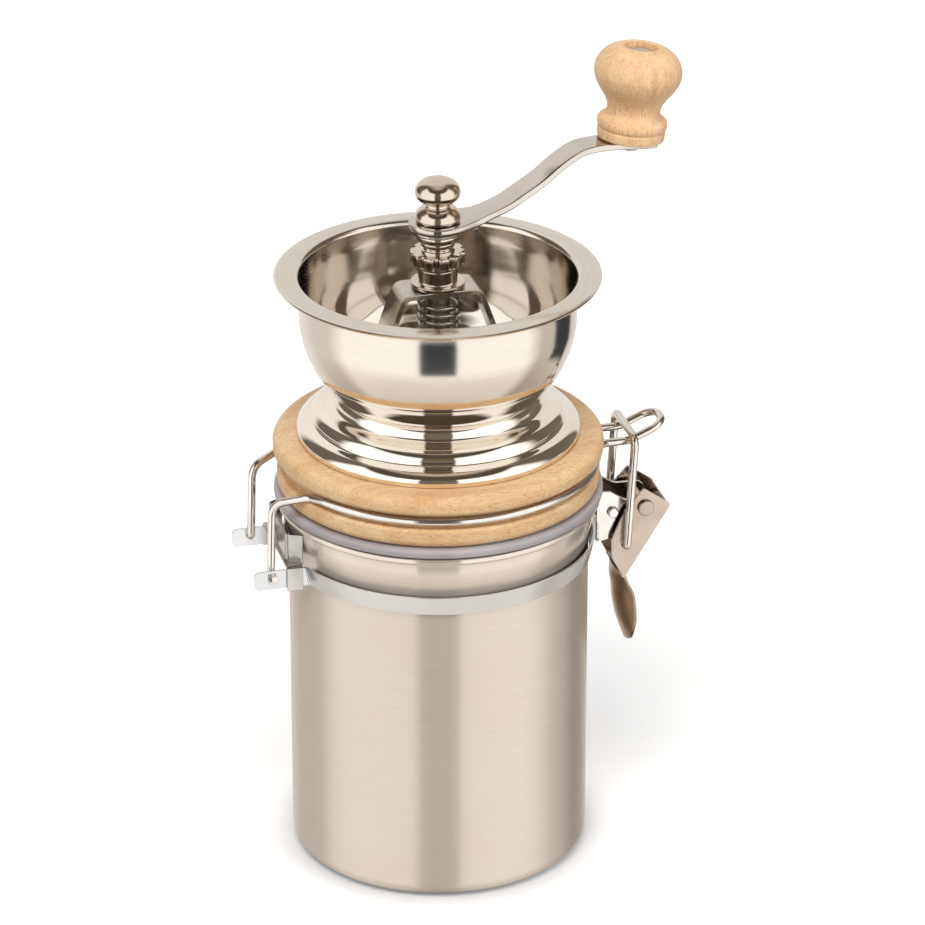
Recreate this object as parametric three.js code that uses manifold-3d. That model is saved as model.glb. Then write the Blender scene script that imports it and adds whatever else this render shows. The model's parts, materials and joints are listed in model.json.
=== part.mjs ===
// A hand cranked coffee grinder whose burr head is the lid of a clamp-top canister. Millimetres, +Z up.
// The origin is the middle of the canister's underside, +X points to the clasp and -X to the lid's hinge.
import * as THREE from "three";
import { mergeVertices } from "three/addons/utils/BufferGeometryUtils.js";
import Module from "manifold-3d";

// Shared values
const fitGap = 0.3; // running and seating gap between two pieces
const cutOverrun = 1; // how far a cutter runs past what it cuts
const mergeTolerance = 1e-4;
const bodySides = 32;
const hubSides = 20;
const fastenerSides = 12;
const cornerSteps = 4; // segments of a rounded corner that turns a quarter of a circle
const smallCorner = 3; // corners up to this radius get half as many
const threeScrews = 3;

// Canister
const canisterRadius = 50;
const canisterHeight = 128.1;
const canisterWall = 0.8;
const canisterCorner = 7.5;
const lipHeight = 2.1;
const neckHeight = 11.2;
const neckFlare = 2.2;
const lipReach = 1.7;
const lipCorner = 0.7;
const neckShares = [[0, 0], [0.27, 0.18], [0.82, 0.63], [1, 1]]; // of the flare and the neck's height

// Band round the neck, with the two hinge ears
const bandDrop = 7.2; // from the neck's foot down to the band's
const bandWidth = 6.5;
const bandWall = 0.8;
const bandFlare = 1.3;
const earSpread = 17; // from the middle plane to the middle of an ear
const earReach = 16.7; // from the canister to the end of an ear
const earCorner = 1.2;
const hingeReach = 10.7; // from the canister to the hinge axis
const hingeRise = 3.8; // from the band's foot to the hinge axis

// Hinge clip, a saddle over the two ears
const clipWall = 0.8;
const clipWidth = 5.4;
const clipReach = 0.6; // from the canister to the clip's inner edge
const clipTabDrop = 8.6;
const clipShieldRise = 9.6;
const clipShieldSpread = 13;
const clipWingRun = 2.2;

// Gasket and beech ring
const gasketThickness = 2.9;
const gasketOverhang = 4.6; // past the canister's radius, as the next two
const lowerDiscOverhang = 3.5;
const upperDiscOverhang = 4.8;
const lowerDiscHeight = 6.7;
const grooveHeight = 5.1;
const upperDiscHeight = 6.5;
const discCorner = 2.9;
const grooveDepth = 2.5; // from the lower disc's edge to the groove's floor
const spigotInset = 4; // from the canister's radius to the spigot
const spigotDepth = 1.8; // how far the spigot goes into the mouth
const lidBoreRadius = 24;

// Bail wire: it lies in the groove, hooks the clasp with a loop and swings in the ears
const bailWire = 2.7;
const bailRise = 2.8; // from the groove's floor disc to the wire's middle
const bailKinkAngle = 22.5; // degrees from the hinge side to where the wire leaves the groove
const bailKinkDrop = 1.2;
const bailShoulderRise = 26; // from the hinge axis to the top of a leg
const bailShoulderInset = 0.8;
const bailBend = 5.5;
const bailFootBend = 2;
const bailLegGap = 0.25; // from a leg to its ear
const loopSpread = 12; // between the middles of the loop's two wires
const loopRootReach = 6.2; // from the groove to where the loop's wires run level
const loopReach = 26.4; // from the canister to the loop's tip
const loopRise = 5.2;
const loopLift = 0.2;
const bailRingStep = 10; // degrees

// Clasp bracket on the band
const bracketWall = 1;
const bracketSpread = 15.2; // over the outside of its two cheeks
const bracketRise = 10.1; // from the band's top to the bracket's highest corner
const bracketDrop = 1.6; // from the band's foot down to the bracket's lowest edge
const bracketCheek = 4.6; // cheek's radius round the rivet
const bracketNeck = 6; // from the rivet in to where the cheek rises
const leverReach = 19; // from the canister to the lever's rivet
const leverRise = 10.6; // from the band's foot to the lever's rivet
const rivetShank = 3;
const rivetHead = 5.5;
const rivetHeadHeight = 0.9;
const bracketPinReach = 8.3;
const bracketPinRise = 9.1;
const bracketPinRadius = 1.9;
const bracketPinProud = 1;

// Clasp lever, a stamped channel with a finger tab
const leverSpread = 20; // over the outside of its two plates
const leverWall = 0.9;
const leverTopCorner = [-0.6, 6.9]; // places from the rivet, outwards and up
const leverOuterCorner = [8.9, 0.2];
const leverTip = [-7.1, -25.5];
const leverInnerKnee = [-11.2, -17.6];
const leverInnerBulge = [-11.6, -10.6];
const leverInnerTop = [-7.1, -0.5];
const leverHole = 4.4;
const tabLength = 28.2;
const tabLean = 3.9; // how far the tab's end stands out from its neck
const tabDish = 4.6;
const tabSlices = 8;
const tabCuts = 6;
const tabWidthShares = [[0, 0.84], [0.12, 0.82], [0.3, 0.92], [0.55, 0.96], [0.75, 0.88], [0.9, 0.62], [1, 0.3]];
const tabLeanShares = [[0, 0], [0.13, 0.3], [0.28, 0.78], [0.47, 0.94], [0.62, 1], [0.8, 0.9], [1, 0.95]];
const tabDishShares = [[0, 0.3], [0.13, 0.7], [0.3, 1], [0.5, 1], [0.65, 0.85], [0.8, 0.5], [1, 0.1]];

// Clasp link, a wire bow from the lever up over the bail's loop
const linkWire = 2.8;
const linkGap = 0.4; // from a leg to the lever's plate
const linkFootReach = 12.2; // from the canister to the feet
const linkFootDrop = 13.1; // from the rivet down to the feet
const linkTopReach = 14.5; // from the canister to the bar
const linkBend = 3.5;
const linkFootBend = 1.6;
const linkFootLength = 2.9;

// Stepped dome
const domeRadius = 47;
const domeHeight = 15.4;
const domeWall = 0.8;
const domeFlangeWidth = 9.5;
const domeOutlineShares = [
  [0.989, 0], [1, 0.1], [0.988, 0.2], [0.95, 0.3], [0.895, 0.365], [0.888, 0.468], [0.853, 0.61], [0.77, 0.695],
  [0.738, 0.76], [0.726, 0.883], [0.699, 0.974], [0.653, 1],
];

// Hopper bowl
const bowlRadius = 45.6;
const bowlHeight = 40.6; // from its seat on the dome to the top of the rim
const bowlWall = 0.8;
const rimRadius = 53.2;
const rimSlope = 0.5;
const rimCorner = 1.1;
const rimRootShare = 1.015; // of the bowl's radius, where the rim turns out
const seatOuterRadius = 32.5;
const seatInnerRadius = 25.5;
const throatRadius = 17;
const spoutLength = 4.5;
const spoutGap = 0.8; // from the spout to the burr's flange
const bowlOutlineShares = [
  [0.796, 0.025], [0.83, 0.07], [0.868, 0.148], [0.925, 0.256], [0.972, 0.39], [0.997, 0.54], [1, 0.677],
];

// Bridge over the hopper's throat, and its rivets
const bridgeWall = 1.8;
const bridgeWidth = 14;
const bridgeRise = 34.9; // from the bowl's floor to the crown's top
const bridgeFootSpan = 32.5;
const bridgeKnee = 23.8;
const bridgeCrownHalf = 12;
const bridgeBend = 2.5;
const hopperRivetCount = 4;
const hopperRivetPlace = 29;
const hopperRivetRadius = 1.5;
const hopperRivetHead = 3;
const hopperRivetHeadHeight = 1.1;

// Guide bushing on the crown
const bushingRise = 6.8; // from the crown to the bushing's top
const bushingSleeve = 5;
const bushingFlange = 9;
const bushingFlangeHeight = 1.5;

// Burrs
const burrFlangeRadius = 30;
const burrFlangeHeight = 3;
const burrRingRadius = 22;
const burrRingHeight = 16;
const burrBoreTop = 14.6;
const burrBoreFoot = 16.2;
const burrFlutes = 16;
const burrFluteShare = 0.07;
const coneHeight = 20;
const coneTop = 6.5;
const coneFoot = 15;
const coneDrop = 15.2; // from the burr flange's top to the cone's foot
const burrScrewPlace = 27;
const burrScrewRadius = 1.25;
const burrScrewLength = 9;
const burrScrewHead = 2.5;
const burrScrewHeadHeight = 1.5;

// Drive shaft and what is fixed to it
const shaftRadius = 4;
const shaftDrop = 6.8; // from the spigot down to the shaft's foot
const shaftShoulder = 5.2;
const shoulderHeight = 2.7;
const studRadius = 2.5;
const studLength = 7;
const flatInset = 1; // how deep each of the two flats under the crank is
const burrNutAcross = 12.4;
const burrNutHeight = 4;
const springSeatRadius = 7.5;
const springSeatHeight = 2.5;
const springWire = 1.4;
const springRadius = 6.2;
const springCurls = 6;
const springHeight = 18.7;
const springSteps = 8;
const springSides = 5;

// Adjusting nut and what lies above it
const washerRadius = 7.5;
const washerHeight = 1.1;
const starRadius = 9;
const starHeight = 3.8;
const starPoints = 10;
const starNotchShare = 0.14;
const nutHubRadius = 5.6;
const nutHubHeight = 3.7;
const collarRadius = 7;
const collarHeight = 2.5;

// Lock plate
const plateWall = 0.9;
const plateEyeRadius = 8.5;
const plateStrip = 8.4;
const plateReach = 12.4;
const plateBend = 1.3;
const plateTabDrop = 7.8;
const plateTabTip = 3;

// Crank arm, turned about the shaft as in the photograph
const crankAngle = 10.2;
const armWall = 2.4;
const armEyeRadius = 9.5;
const armShoulder = 8.6; // half the width where the eye runs into the taper
const armTaperEnd = 18; // along the arm
const armWidth = 10;
const armReach = 78;
const armRise = 18.2;
const armCorner = 1.8;
const armOutlineShares = [
  [0.118, 0.011], [0.182, 0.039], [0.292, 0.171], [0.375, 0.34], [0.459, 0.53], [0.541, 0.768], [0.624, 0.95],
  [0.681, 1], [0.774, 1], [1, 0.89],
];

// Finial nut
const finialRadius = 7.45;
const finialHeight = 14.5;
const finialBoreDepth = 8.2;
const finialOutlineShares = [
  [0.966, 0], [1, 0.09], [0.92, 0.21], [0.72, 0.31], [0.54, 0.35], [0.54, 0.42], [0.78, 0.475], [0.96, 0.57],
  [1, 0.67], [0.94, 0.8], [0.72, 0.92], [0.36, 0.985], [0, 1],
];

// Knob and its pin
const knobInset = 8.5; // from the arm's end to the knob's middle
const knobRadius = 14.5;
const knobHeight = 31.5;
const knobRecessRadius = 5.45;
const knobRecessDepth = 3;
const knobPinRadius = 2.3;
const knobPinHead = 4.4;
const knobPinHeadHeight = 1.2;
const knobPinTail = 3;
const knobPinTailHeight = 1;
const knobOutlineShares = [
  [0.71, 0], [0.785, 0.05], [0.785, 0.16], [0.72, 0.2], [0.635, 0.25], [0.59, 0.31], [0.62, 0.38],
  [0.77, 0.49], [0.94, 0.605], [1, 0.71], [0.96, 0.82], [0.84, 0.91], [0.62, 0.97],
];

// Lower bridge under the beech ring, its bushing and the screws from below
const strapWall = 1.5;
const strapWidth = 12;
const strapLength = 70;
const lowerBushingFlange = 7;
const lowerBushingFlangeHeight = 1.5;
const lowerBushingSleeve = 5;
const lowerBushingLength = 6.5;
const strapScrewPlace = 30;
const strapScrewLength = 9;
const lidScrewInset = 5; // from the spigot's side to the screws
const lidScrewHead = 3;
const lidScrewHeadHeight = 2;
const lidScrewSink = 4; // depth of the counterbore
const lidScrewRadius = 1.5;

// Heights and places that follow from the sizes above
const neckFoot = canisterHeight - lipHeight - canisterWall - neckHeight;
const bandFoot = neckFoot - bandDrop;
const gasketFoot = canisterHeight + fitGap;
const lidFoot = gasketFoot + gasketThickness + fitGap;
const grooveFoot = lidFoot + lowerDiscHeight;
const grooveTop = grooveFoot + grooveHeight;
const lidTop = grooveTop + upperDiscHeight;
const spigotFoot = canisterHeight - spigotDepth;
const spigotRadius = canisterRadius - spigotInset;
const shaftFoot = spigotFoot - shaftDrop;
const lowerDiscRadius = canisterRadius + lowerDiscOverhang;
const upperDiscRadius = canisterRadius + upperDiscOverhang;
const grooveRadius = lowerDiscRadius - grooveDepth;
const lidScrewPlace = spigotRadius - lidScrewInset;
const knobPlace = armReach - knobInset;
const hingeX = -canisterRadius - hingeReach;
const hingeZ = bandFoot + hingeRise;
const leverX = canisterRadius + leverReach;
const leverZ = bandFoot + leverRise;
const bandTop = bandFoot + bandWidth;
const bandRadius = canisterRadius + fitGap + bandWall;
const domeFoot = lidTop + fitGap;
const domeTop = domeFoot + domeHeight;
const bowlFoot = domeTop + fitGap;
const bowlTop = bowlFoot + bowlHeight;
const bowlFloor = bowlFoot + bowlWall;
const burrFlangeTop = domeFoot + burrFlangeHeight;
const coneSeat = burrFlangeTop - coneDrop;
const crownTop = bowlFloor + bridgeRise;
const crownFoot = crownTop - bridgeWall;
const bushingTop = crownTop + bushingRise;
const washerFoot = bushingTop + fitGap;
const starFoot = washerFoot + washerHeight + fitGap;
const nutTop = starFoot + starHeight + nutHubHeight;
const collarFoot = nutTop + fitGap;
const plateFoot = collarFoot + collarHeight + fitGap;
const armFoot = plateFoot + plateWall + fitGap;
const finialFoot = armFoot + armWall + fitGap;
const springTop = crownFoot - fitGap;
const springSeatTop = springTop - springHeight - fitGap;
const springSeatFoot = springSeatTop - springSeatHeight;
const bailRingRadius = grooveRadius + fitGap + bailWire / 2;
const bailZ = grooveFoot + bailRise;
const bore = shaftRadius + fitGap;
const barZ = bailZ - loopLift + (bailWire + linkWire) / 2 + fitGap;

const steel = (color, roughness) => new THREE.MeshStandardMaterial({ color, roughness, metalness: 1 });
const materials = {
  brushedSteel: steel(0xcfc7bd, 0.34),
  polishedSteel: steel(0xd9d4cc, 0.12),
  chrome: steel(0xdfe1e4, 0.1),
  nickel: steel(0xc9bfb2, 0.2),
  burrSteel: steel(0x8f8f92, 0.45),
  beech: new THREE.MeshStandardMaterial({ color: 0xe2b683, roughness: 0.55, metalness: 0 }),
  silicone: new THREE.MeshStandardMaterial({ color: 0xc3c2cc, roughness: 0.5, metalness: 0 }),
};

const wasm = await Module();
wasm.setup();

function toSolid(geometry) {
  const bare = new THREE.BufferGeometry().setAttribute("position", geometry.getAttribute("position"));
  if (geometry.index) bare.setIndex(geometry.index);
  const merged = mergeVertices(bare, mergeTolerance);
  const vertProperties = merged.getAttribute("position").array;
  const triVerts = new Uint32Array(merged.index.array);
  return new wasm.Manifold(new wasm.Mesh({ numProp: 3, vertProperties, triVerts }));
}

function toGeometry(solid) {
  const { vertProperties, triVerts } = solid.getMesh();
  return new THREE.BufferGeometry()
    .setAttribute("position", new THREE.BufferAttribute(vertProperties, 3))
    .setIndex(new THREE.BufferAttribute(triVerts, 1));
}

const combine = (verb) => (first, ...others) =>
  toGeometry(others.reduce((whole, other) => whole[verb](toSolid(other)), toSolid(first)));
const joined = combine("add");
const cut = combine("subtract");
const common = combine("intersect");

// Points with the corners rounded that carry a radius as a fourth number. The ends stay sharp unless closed.
function rounded(points, closed = false) {
  const at = points.map(([x, y, z]) => new THREE.Vector3(x, y, z));
  const out = [];
  at.forEach((corner, i) => {
    const radius = points[i][3] || 0;
    const before = at[i - 1] || (closed && at[at.length - 1]);
    const after = at[i + 1] || (closed && at[0]);
    if (!radius || !before || !after) return out.push(corner);
    const back = before.clone().sub(corner);
    const ahead = after.clone().sub(corner);
    const half = back.angleTo(ahead) / 2;
    const run = Math.min(radius / Math.tan(half), back.length() / 2, ahead.length() / 2);
    const arc = run * Math.tan(half);
    back.normalize();
    ahead.normalize();
    const middle = back.clone().add(ahead).normalize().multiplyScalar(arc / Math.sin(half)).add(corner);
    const turn = Math.PI - 2 * half;
    const quarterSteps = radius > smallCorner ? cornerSteps : cornerSteps / 2;
    const steps = Math.max(1, Math.round((turn / (Math.PI / 2)) * quarterSteps));
    const spoke = back.clone().multiplyScalar(run).add(corner).sub(middle);
    const axis = spoke.clone().cross(ahead.clone().multiplyScalar(run).add(corner).sub(middle)).normalize();
    for (let n = 0; n <= steps; n++)
      out.push(spoke.clone().applyAxisAngle(axis, (turn * n) / steps).add(middle));
  });
  return out;
}

// Outline points are [x, y] or [x, y, corner radius].
const outline = (points, closed = true) =>
  rounded(points.map(([x, y, radius]) => [x, y, 0, radius]), closed).map(({ x, y }) => new THREE.Vector2(x, y));

// The same open line, moved to its left by a distance.
function beside(line, distance) {
  const normals = line.slice(1).map((point, i) => {
    const along = point.clone().sub(line[i]).normalize();
    return new THREE.Vector2(-along.y, along.x);
  });
  return line.map((point, i) => {
    const before = normals[Math.max(i - 1, 0)];
    const after = normals[Math.min(i, normals.length - 1)];
    const middle = before.clone().add(after).normalize();
    return middle.multiplyScalar(distance / middle.dot(after)).add(point);
  });
}

// A closed outline of a sheet that follows an open line.
const sheet = (line, wall) => [...line, ...beside(line, wall).reverse()];

// A turned solid about +Z. Profile points are x = radius and y = height.
function turned(profile, sides = bodySides) {
  const clockwise = THREE.ShapeUtils.isClockWise(profile);
  const run = clockwise ? profile.slice().reverse() : profile.slice();
  const onAxis = run[0].x === 0 && run[run.length - 1].x === 0;
  if (!onAxis) run.push(run[0].clone());
  return new THREE.LatheGeometry(run, sides).rotateX(Math.PI / 2);
}

const turnedFrom = (points, sides) => turned(outline(points), sides);

// A plain round, from a height up, with an optional bore.
function round(radius, foot, height, hole = 0, sides = fastenerSides) {
  const corners = [[hole, foot], [radius, foot], [radius, foot + height], [hole, foot + height]];
  return turnedFrom(corners, sides);
}

// A prism of an outline in X and Y, from a height up.
const prism = (points, foot, height) =>
  new THREE.ExtrudeGeometry(new THREE.Shape(points), { depth: height, bevelEnabled: false }).translate(0, 0, foot);

// A prism of an outline in X and Z, with its middle at a place along Y.
const upright = (points, middle, width) =>
  prism(points, -width / 2, width).rotateX(Math.PI / 2).translate(0, middle, 0);

function block(lowX, highX, lowY, highY, lowZ, highZ) {
  const box = new THREE.BoxGeometry(highX - lowX, highY - lowY, highZ - lowZ);
  return box.translate((lowX + highX) / 2, (lowY + highY) / 2, (lowZ + highZ) / 2);
}

// A line through points in space that is stepped exactly at those points.
class Route extends THREE.Curve {
  constructor(points) {
    super();
    this.points = points;
  }
  getPointAt(share, target = new THREE.Vector3()) {
    return target.copy(this.points[Math.round(share * (this.points.length - 1))]);
  }
  getTangentAt(share, target = new THREE.Vector3()) {
    const i = Math.round(share * (this.points.length - 1));
    const here = this.points[i];
    const before = this.points[i - 1] || here;
    const after = this.points[i + 1] || here;
    const back = here.clone().sub(before).normalize();
    return target.copy(after).sub(here).normalize().add(back).normalize();
  }
}

function wire(points, diameter, sides = 8) {
  const section = new THREE.Shape();
  for (let i = 0; i < sides; i++) {
    const angle = (i * 2 * Math.PI) / sides;
    section[i ? "lineTo" : "moveTo"]((diameter / 2) * Math.cos(angle), (diameter / 2) * Math.sin(angle));
  }
  section.closePath();
  const options = { steps: points.length - 1, extrudePath: new Route(points), bevelEnabled: false };
  return new THREE.ExtrudeGeometry(section, options);
}

// Along a table of [share, value] pairs.
function valueAt(table, share) {
  const next = Math.max(1, table.findIndex(([at]) => at >= share));
  const [[fromShare, from], [toShare, to]] = [table[next - 1], table[next]];
  return THREE.MathUtils.lerp(from, to, (share - fromShare) / (toShare - fromShare));
}

function piece(name, geometry, material) {
  const mesh = new THREE.Mesh(geometry, material);
  mesh.name = name;
  return mesh;
}

// A screw with its head's top at the origin and its shank along -Z.
const screw = (headRadius, headHeight, shankRadius, length) =>
  turnedFrom(
    [[0, -length], [shankRadius, -length], [shankRadius, -headHeight], [headRadius, -headHeight], [headRadius, 0], [0, 0]],
    fastenerSides,
  );

function around(count, radius, place, firstAngle = 0) {
  for (let i = 0; i < count; i++) {
    const angle = firstAngle + (i * 2 * Math.PI) / count;
    place(i, radius * Math.cos(angle), radius * Math.sin(angle));
  }
}

const drill = (radius, x, y, foot, height) => round(radius, foot, height).translate(x, y, 0);

function canisterBody() {
  const neck = neckShares.map(([out, up]) => [canisterRadius + out * neckFlare, neckFoot + up * neckHeight]);
  const wall = outline([[0, 0], [canisterRadius, 0, canisterCorner], ...neck], false);
  const lipOuter = canisterRadius + neckFlare + lipReach;
  const lipFoot = neckFoot + neckHeight + canisterWall;
  const lipInner = canisterRadius + neckFlare - canisterWall;
  const lip = outline(
    [[lipOuter, lipFoot, lipCorner], [lipOuter, canisterHeight, lipCorner], [lipInner, canisterHeight, lipCorner]],
  );
  return piece("canister_body", turned([...wall, ...lip, ...beside(wall, canisterWall).reverse()]), materials.brushedSteel);
}

const earOutline = () => {
  const root = -Math.sqrt((bandRadius - bandWall / 2) ** 2 - earSpread ** 2);
  const end = -canisterRadius - earReach;
  return outline([
    [root, bandFoot], [root, bandTop], [end, bandTop, earCorner * 2], [end, bandFoot, earCorner * 2],
  ]);
};

function neckBand() {
  const strip = turnedFrom([
    [bandRadius - bandWall, bandFoot], [bandRadius, bandFoot],
    [bandRadius + bandFlare, bandTop], [bandRadius + bandFlare - bandWall, bandTop],
  ]);
  const opening = block(
    -bandRadius - bandFlare - cutOverrun, 0, -earSpread, earSpread, bandFoot - cutOverrun, bandTop + cutOverrun,
  );
  const ears = [-1, 1].map((side) => upright(earOutline(), side * earSpread, bandWall));
  const holes = round(bailWire / 2 + fitGap, -earSpread - cutOverrun - bandWall, 2 * (earSpread + cutOverrun + bandWall))
    .rotateX(Math.PI / 2).translate(hingeX, 0, hingeZ);
  return piece("neck_band", cut(joined(cut(strip, opening), ...ears), holes), materials.chrome);
}

function hingeClip() {
  const inner = -canisterRadius - clipReach;
  const outer = inner - clipWidth;
  const webFoot = bandTop + fitGap;
  const webTop = webFoot + clipWall;
  const tabFace = earSpread + bandWall / 2 + fitGap;
  const tabFoot = webTop - clipTabDrop;
  const web = block(outer, inner, -tabFace - clipWall, tabFace + clipWall, webFoot, webTop);
  const tabs = [-1, 1].map((side) =>
    block(outer, inner, Math.min(side * tabFace, side * (tabFace + clipWall)),
      Math.max(side * tabFace, side * (tabFace + clipWall)), tabFoot, webTop));
  const shieldLine = outline([
    [inner, -clipShieldSpread - clipWingRun], [outer + clipWall, -clipShieldSpread, clipWingRun],
    [outer + clipWall, clipShieldSpread, clipWingRun], [inner, clipShieldSpread + clipWingRun],
  ], false);
  const shield = prism(sheet(shieldLine, clipWall), webFoot, clipShieldRise + clipWall);
  return piece("hinge_clip", joined(web, ...tabs, shield), materials.nickel);
}

function siliconeGasket() {
  const inner = spigotRadius + fitGap;
  const outer = canisterRadius + gasketOverhang;
  const top = gasketFoot + gasketThickness;
  const corner = gasketThickness / 4;
  return piece("silicone_gasket", turnedFrom([
    [inner, gasketFoot], [outer, gasketFoot, corner], [outer, top, corner], [inner, top],
  ]), materials.silicone);
}

function lidRing() {
  const ring = turnedFrom([
    [lidBoreRadius, spigotFoot], [spigotRadius, spigotFoot], [spigotRadius, lidFoot],
    [lowerDiscRadius, lidFoot, discCorner], [lowerDiscRadius, grooveFoot, discCorner], [grooveRadius, grooveFoot],
    [grooveRadius, grooveTop], [upperDiscRadius, grooveTop, discCorner], [upperDiscRadius, lidTop, discCorner],
    [lidBoreRadius, lidTop],
  ]);
  const holes = [];
  around(threeScrews, lidScrewPlace, (i, x, y) => {
    holes.push(drill(lidScrewRadius + fitGap, x, y, spigotFoot - cutOverrun, lidTop - spigotFoot + 2 * cutOverrun));
    holes.push(drill(lidScrewHead + fitGap, x, y, spigotFoot - cutOverrun, lidScrewSink + cutOverrun));
  });
  around(threeScrews, burrScrewPlace, (i, x, y) => {
    const depth = burrScrewLength - burrFlangeHeight;
    holes.push(drill(burrScrewRadius + fitGap, x, y, lidTop - depth, depth + cutOverrun));
  });
  [-1, 1].forEach((side) => {
    const depth = strapScrewLength - strapWall;
    holes.push(drill(lidScrewRadius + fitGap, 0, side * strapScrewPlace, spigotFoot - cutOverrun, depth + cutOverrun));
  });
  return piece("lid_ring", cut(ring, ...holes), materials.beech);
}

function steppedDome() {
  const tiers = domeOutlineShares.map(([out, up]) => [out * domeRadius, domeFoot + up * domeHeight]);
  const flangeInner = domeRadius - domeFlangeWidth;
  const mouth = seatInnerRadius + domeWall;
  const line = outline([[flangeInner, domeFoot], ...tiers, [mouth, domeTop]], false);
  const holes = [];
  around(threeScrews, lidScrewPlace, (i, x, y) =>
    holes.push(drill(lidScrewRadius + fitGap, x, y, domeFoot - cutOverrun, domeWall + 2 * cutOverrun)));
  around(hopperRivetCount, hopperRivetPlace, (i, x, y) =>
    holes.push(drill(hopperRivetRadius + fitGap, x, y, domeTop - domeWall - cutOverrun, domeWall + 2 * cutOverrun)));
  return piece("stepped_dome", cut(turned(sheet(line, domeWall)), ...holes), materials.polishedSteel);
}

function hopperBowl() {
  const side = bowlOutlineShares.map(([out, up]) => [out * bowlRadius, bowlFoot + up * bowlHeight]);
  const spoutRadius = throatRadius + bowlWall;
  const spoutFoot = burrFlangeTop + spoutGap;
  const rimFoot = bowlTop - bowlWall;
  const line = outline([
    [spoutRadius, spoutFoot], [spoutRadius, spoutFoot + spoutLength], [seatInnerRadius, bowlFoot],
    [seatOuterRadius, bowlFoot], ...side, [bowlRadius * rimRootShare, rimFoot, rimCorner], [rimRadius, rimFoot - rimSlope],
  ], false);
  const holes = [];
  around(hopperRivetCount, hopperRivetPlace, (i, x, y) =>
    holes.push(drill(hopperRivetRadius + fitGap, x, y, bowlFoot - cutOverrun, bowlWall + 2 * cutOverrun)));
  return piece("hopper_bowl", cut(turned(sheet(line, bowlWall)), ...holes), materials.polishedSteel);
}

function hopperBridge() {
  const foot = bowlFloor + fitGap;
  const half = [
    [bridgeFootSpan, foot], [bridgeKnee, foot, bridgeBend], [bridgeCrownHalf, crownFoot, bridgeBend],
  ];
  const mirrored = half.map(([x, y, radius]) => [-x, y, radius]).reverse();
  const strip = upright(sheet(outline([...half, ...mirrored], false).reverse(), bridgeWall), 0, bridgeWidth);
  const crownHole = drill(bushingSleeve + fitGap, 0, 0, crownFoot - cutOverrun, bridgeWall + 2 * cutOverrun);
  const footHoles = [-1, 1].map((side) =>
    drill(hopperRivetRadius + fitGap, side * hopperRivetPlace, 0, foot - cutOverrun, bridgeWall + 2 * cutOverrun));
  return piece("hopper_bridge", cut(strip, crownHole, ...footHoles), materials.brushedSteel);
}

// Each rivet goes down through the bowl's floor and the dome's top, and two of them through the bridge's feet.
function hopperRivets() {
  const rivets = [];
  around(hopperRivetCount, hopperRivetPlace, (i, x, y) => {
    const stack = i % 2 ? fitGap : bridgeWall + 2 * fitGap;
    const headFoot = bowlFloor + stack;
    const shankFoot = domeTop - domeWall - 2 * fitGap;
    const length = headFoot + hopperRivetHeadHeight - shankFoot;
    const geometry = screw(hopperRivetHead, hopperRivetHeadHeight, hopperRivetRadius, length);
    const rivet = piece(`hopper_rivet_${i + 1}`, geometry, materials.brushedSteel);
    rivet.position.set(x, y, headFoot + hopperRivetHeadHeight);
    rivets.push(rivet);
  });
  return rivets;
}

function guideBushing() {
  const flangeFoot = crownTop + fitGap;
  const flangeTop = flangeFoot + bushingFlangeHeight;
  return piece("guide_bushing", turnedFrom([
    [bore, crownFoot], [bushingSleeve, crownFoot], [bushingSleeve, flangeFoot], [bushingFlange, flangeFoot],
    [bushingFlange, flangeTop], [bushingSleeve + bushingFlangeHeight, flangeTop],
    [bushingSleeve + bushingFlangeHeight, bushingTop], [bore, bushingTop],
  ], hubSides), materials.nickel);
}

// Every second meridian drawn in, or pushed out on a bore, so that the surface has flutes.
function fluted(geometry, sides, share, low, high) {
  const place = geometry.getAttribute("position");
  for (let i = 0; i < place.count; i++) {
    const [x, y] = [place.getX(i), place.getY(i)];
    const radius = Math.hypot(x, y);
    const meridian = Math.round((Math.atan2(y, x) / (2 * Math.PI)) * sides);
    if (meridian % 2 === 0 || radius < low || radius > high) continue;
    place.setXY(i, x * (1 + share), y * (1 + share));
  }
  return geometry;
}

function outerBurr() {
  const foot = burrFlangeTop - burrRingHeight;
  const ring = turnedFrom([
    [burrBoreFoot, foot], [burrRingRadius, foot], [burrRingRadius, domeFoot], [burrFlangeRadius, domeFoot],
    [burrFlangeRadius, burrFlangeTop], [burrBoreTop, burrFlangeTop],
  ], 2 * burrFlutes);
  const holes = [];
  around(threeScrews, burrScrewPlace, (i, x, y) =>
    holes.push(drill(burrScrewRadius + fitGap, x, y, domeFoot - cutOverrun, burrFlangeHeight + 2 * cutOverrun)));
  const burr = cut(fluted(ring, 2 * burrFlutes, burrFluteShare, 0, burrBoreFoot + fitGap), ...holes);
  return piece("outer_burr", burr, materials.burrSteel);
}

function innerBurr() {
  const top = coneSeat + coneHeight;
  const cone = turnedFrom([[bore, coneSeat], [coneFoot, coneSeat], [coneTop, top], [bore, top]], 2 * burrFlutes);
  const burr = fluted(cone, 2 * burrFlutes, -2 * burrFluteShare, bore + fitGap, Infinity);
  return piece("inner_burr", burr, materials.burrSteel);
}

function screwRing(name, count, radius, top, geometry, material) {
  const screws = [];
  around(count, radius, (i, x, y) => {
    const fastener = piece(`${name}_${i + 1}`, geometry, material);
    fastener.position.set(x, y, top);
    screws.push(fastener);
  });
  return screws;
}

function burrScrews() {
  const geometry = screw(burrScrewHead, burrScrewHeadHeight, burrScrewRadius, burrScrewLength);
  const top = burrFlangeTop + fitGap + burrScrewHeadHeight;
  return screwRing("burr_screw", threeScrews, burrScrewPlace, top, geometry, materials.brushedSteel);
}

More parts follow.
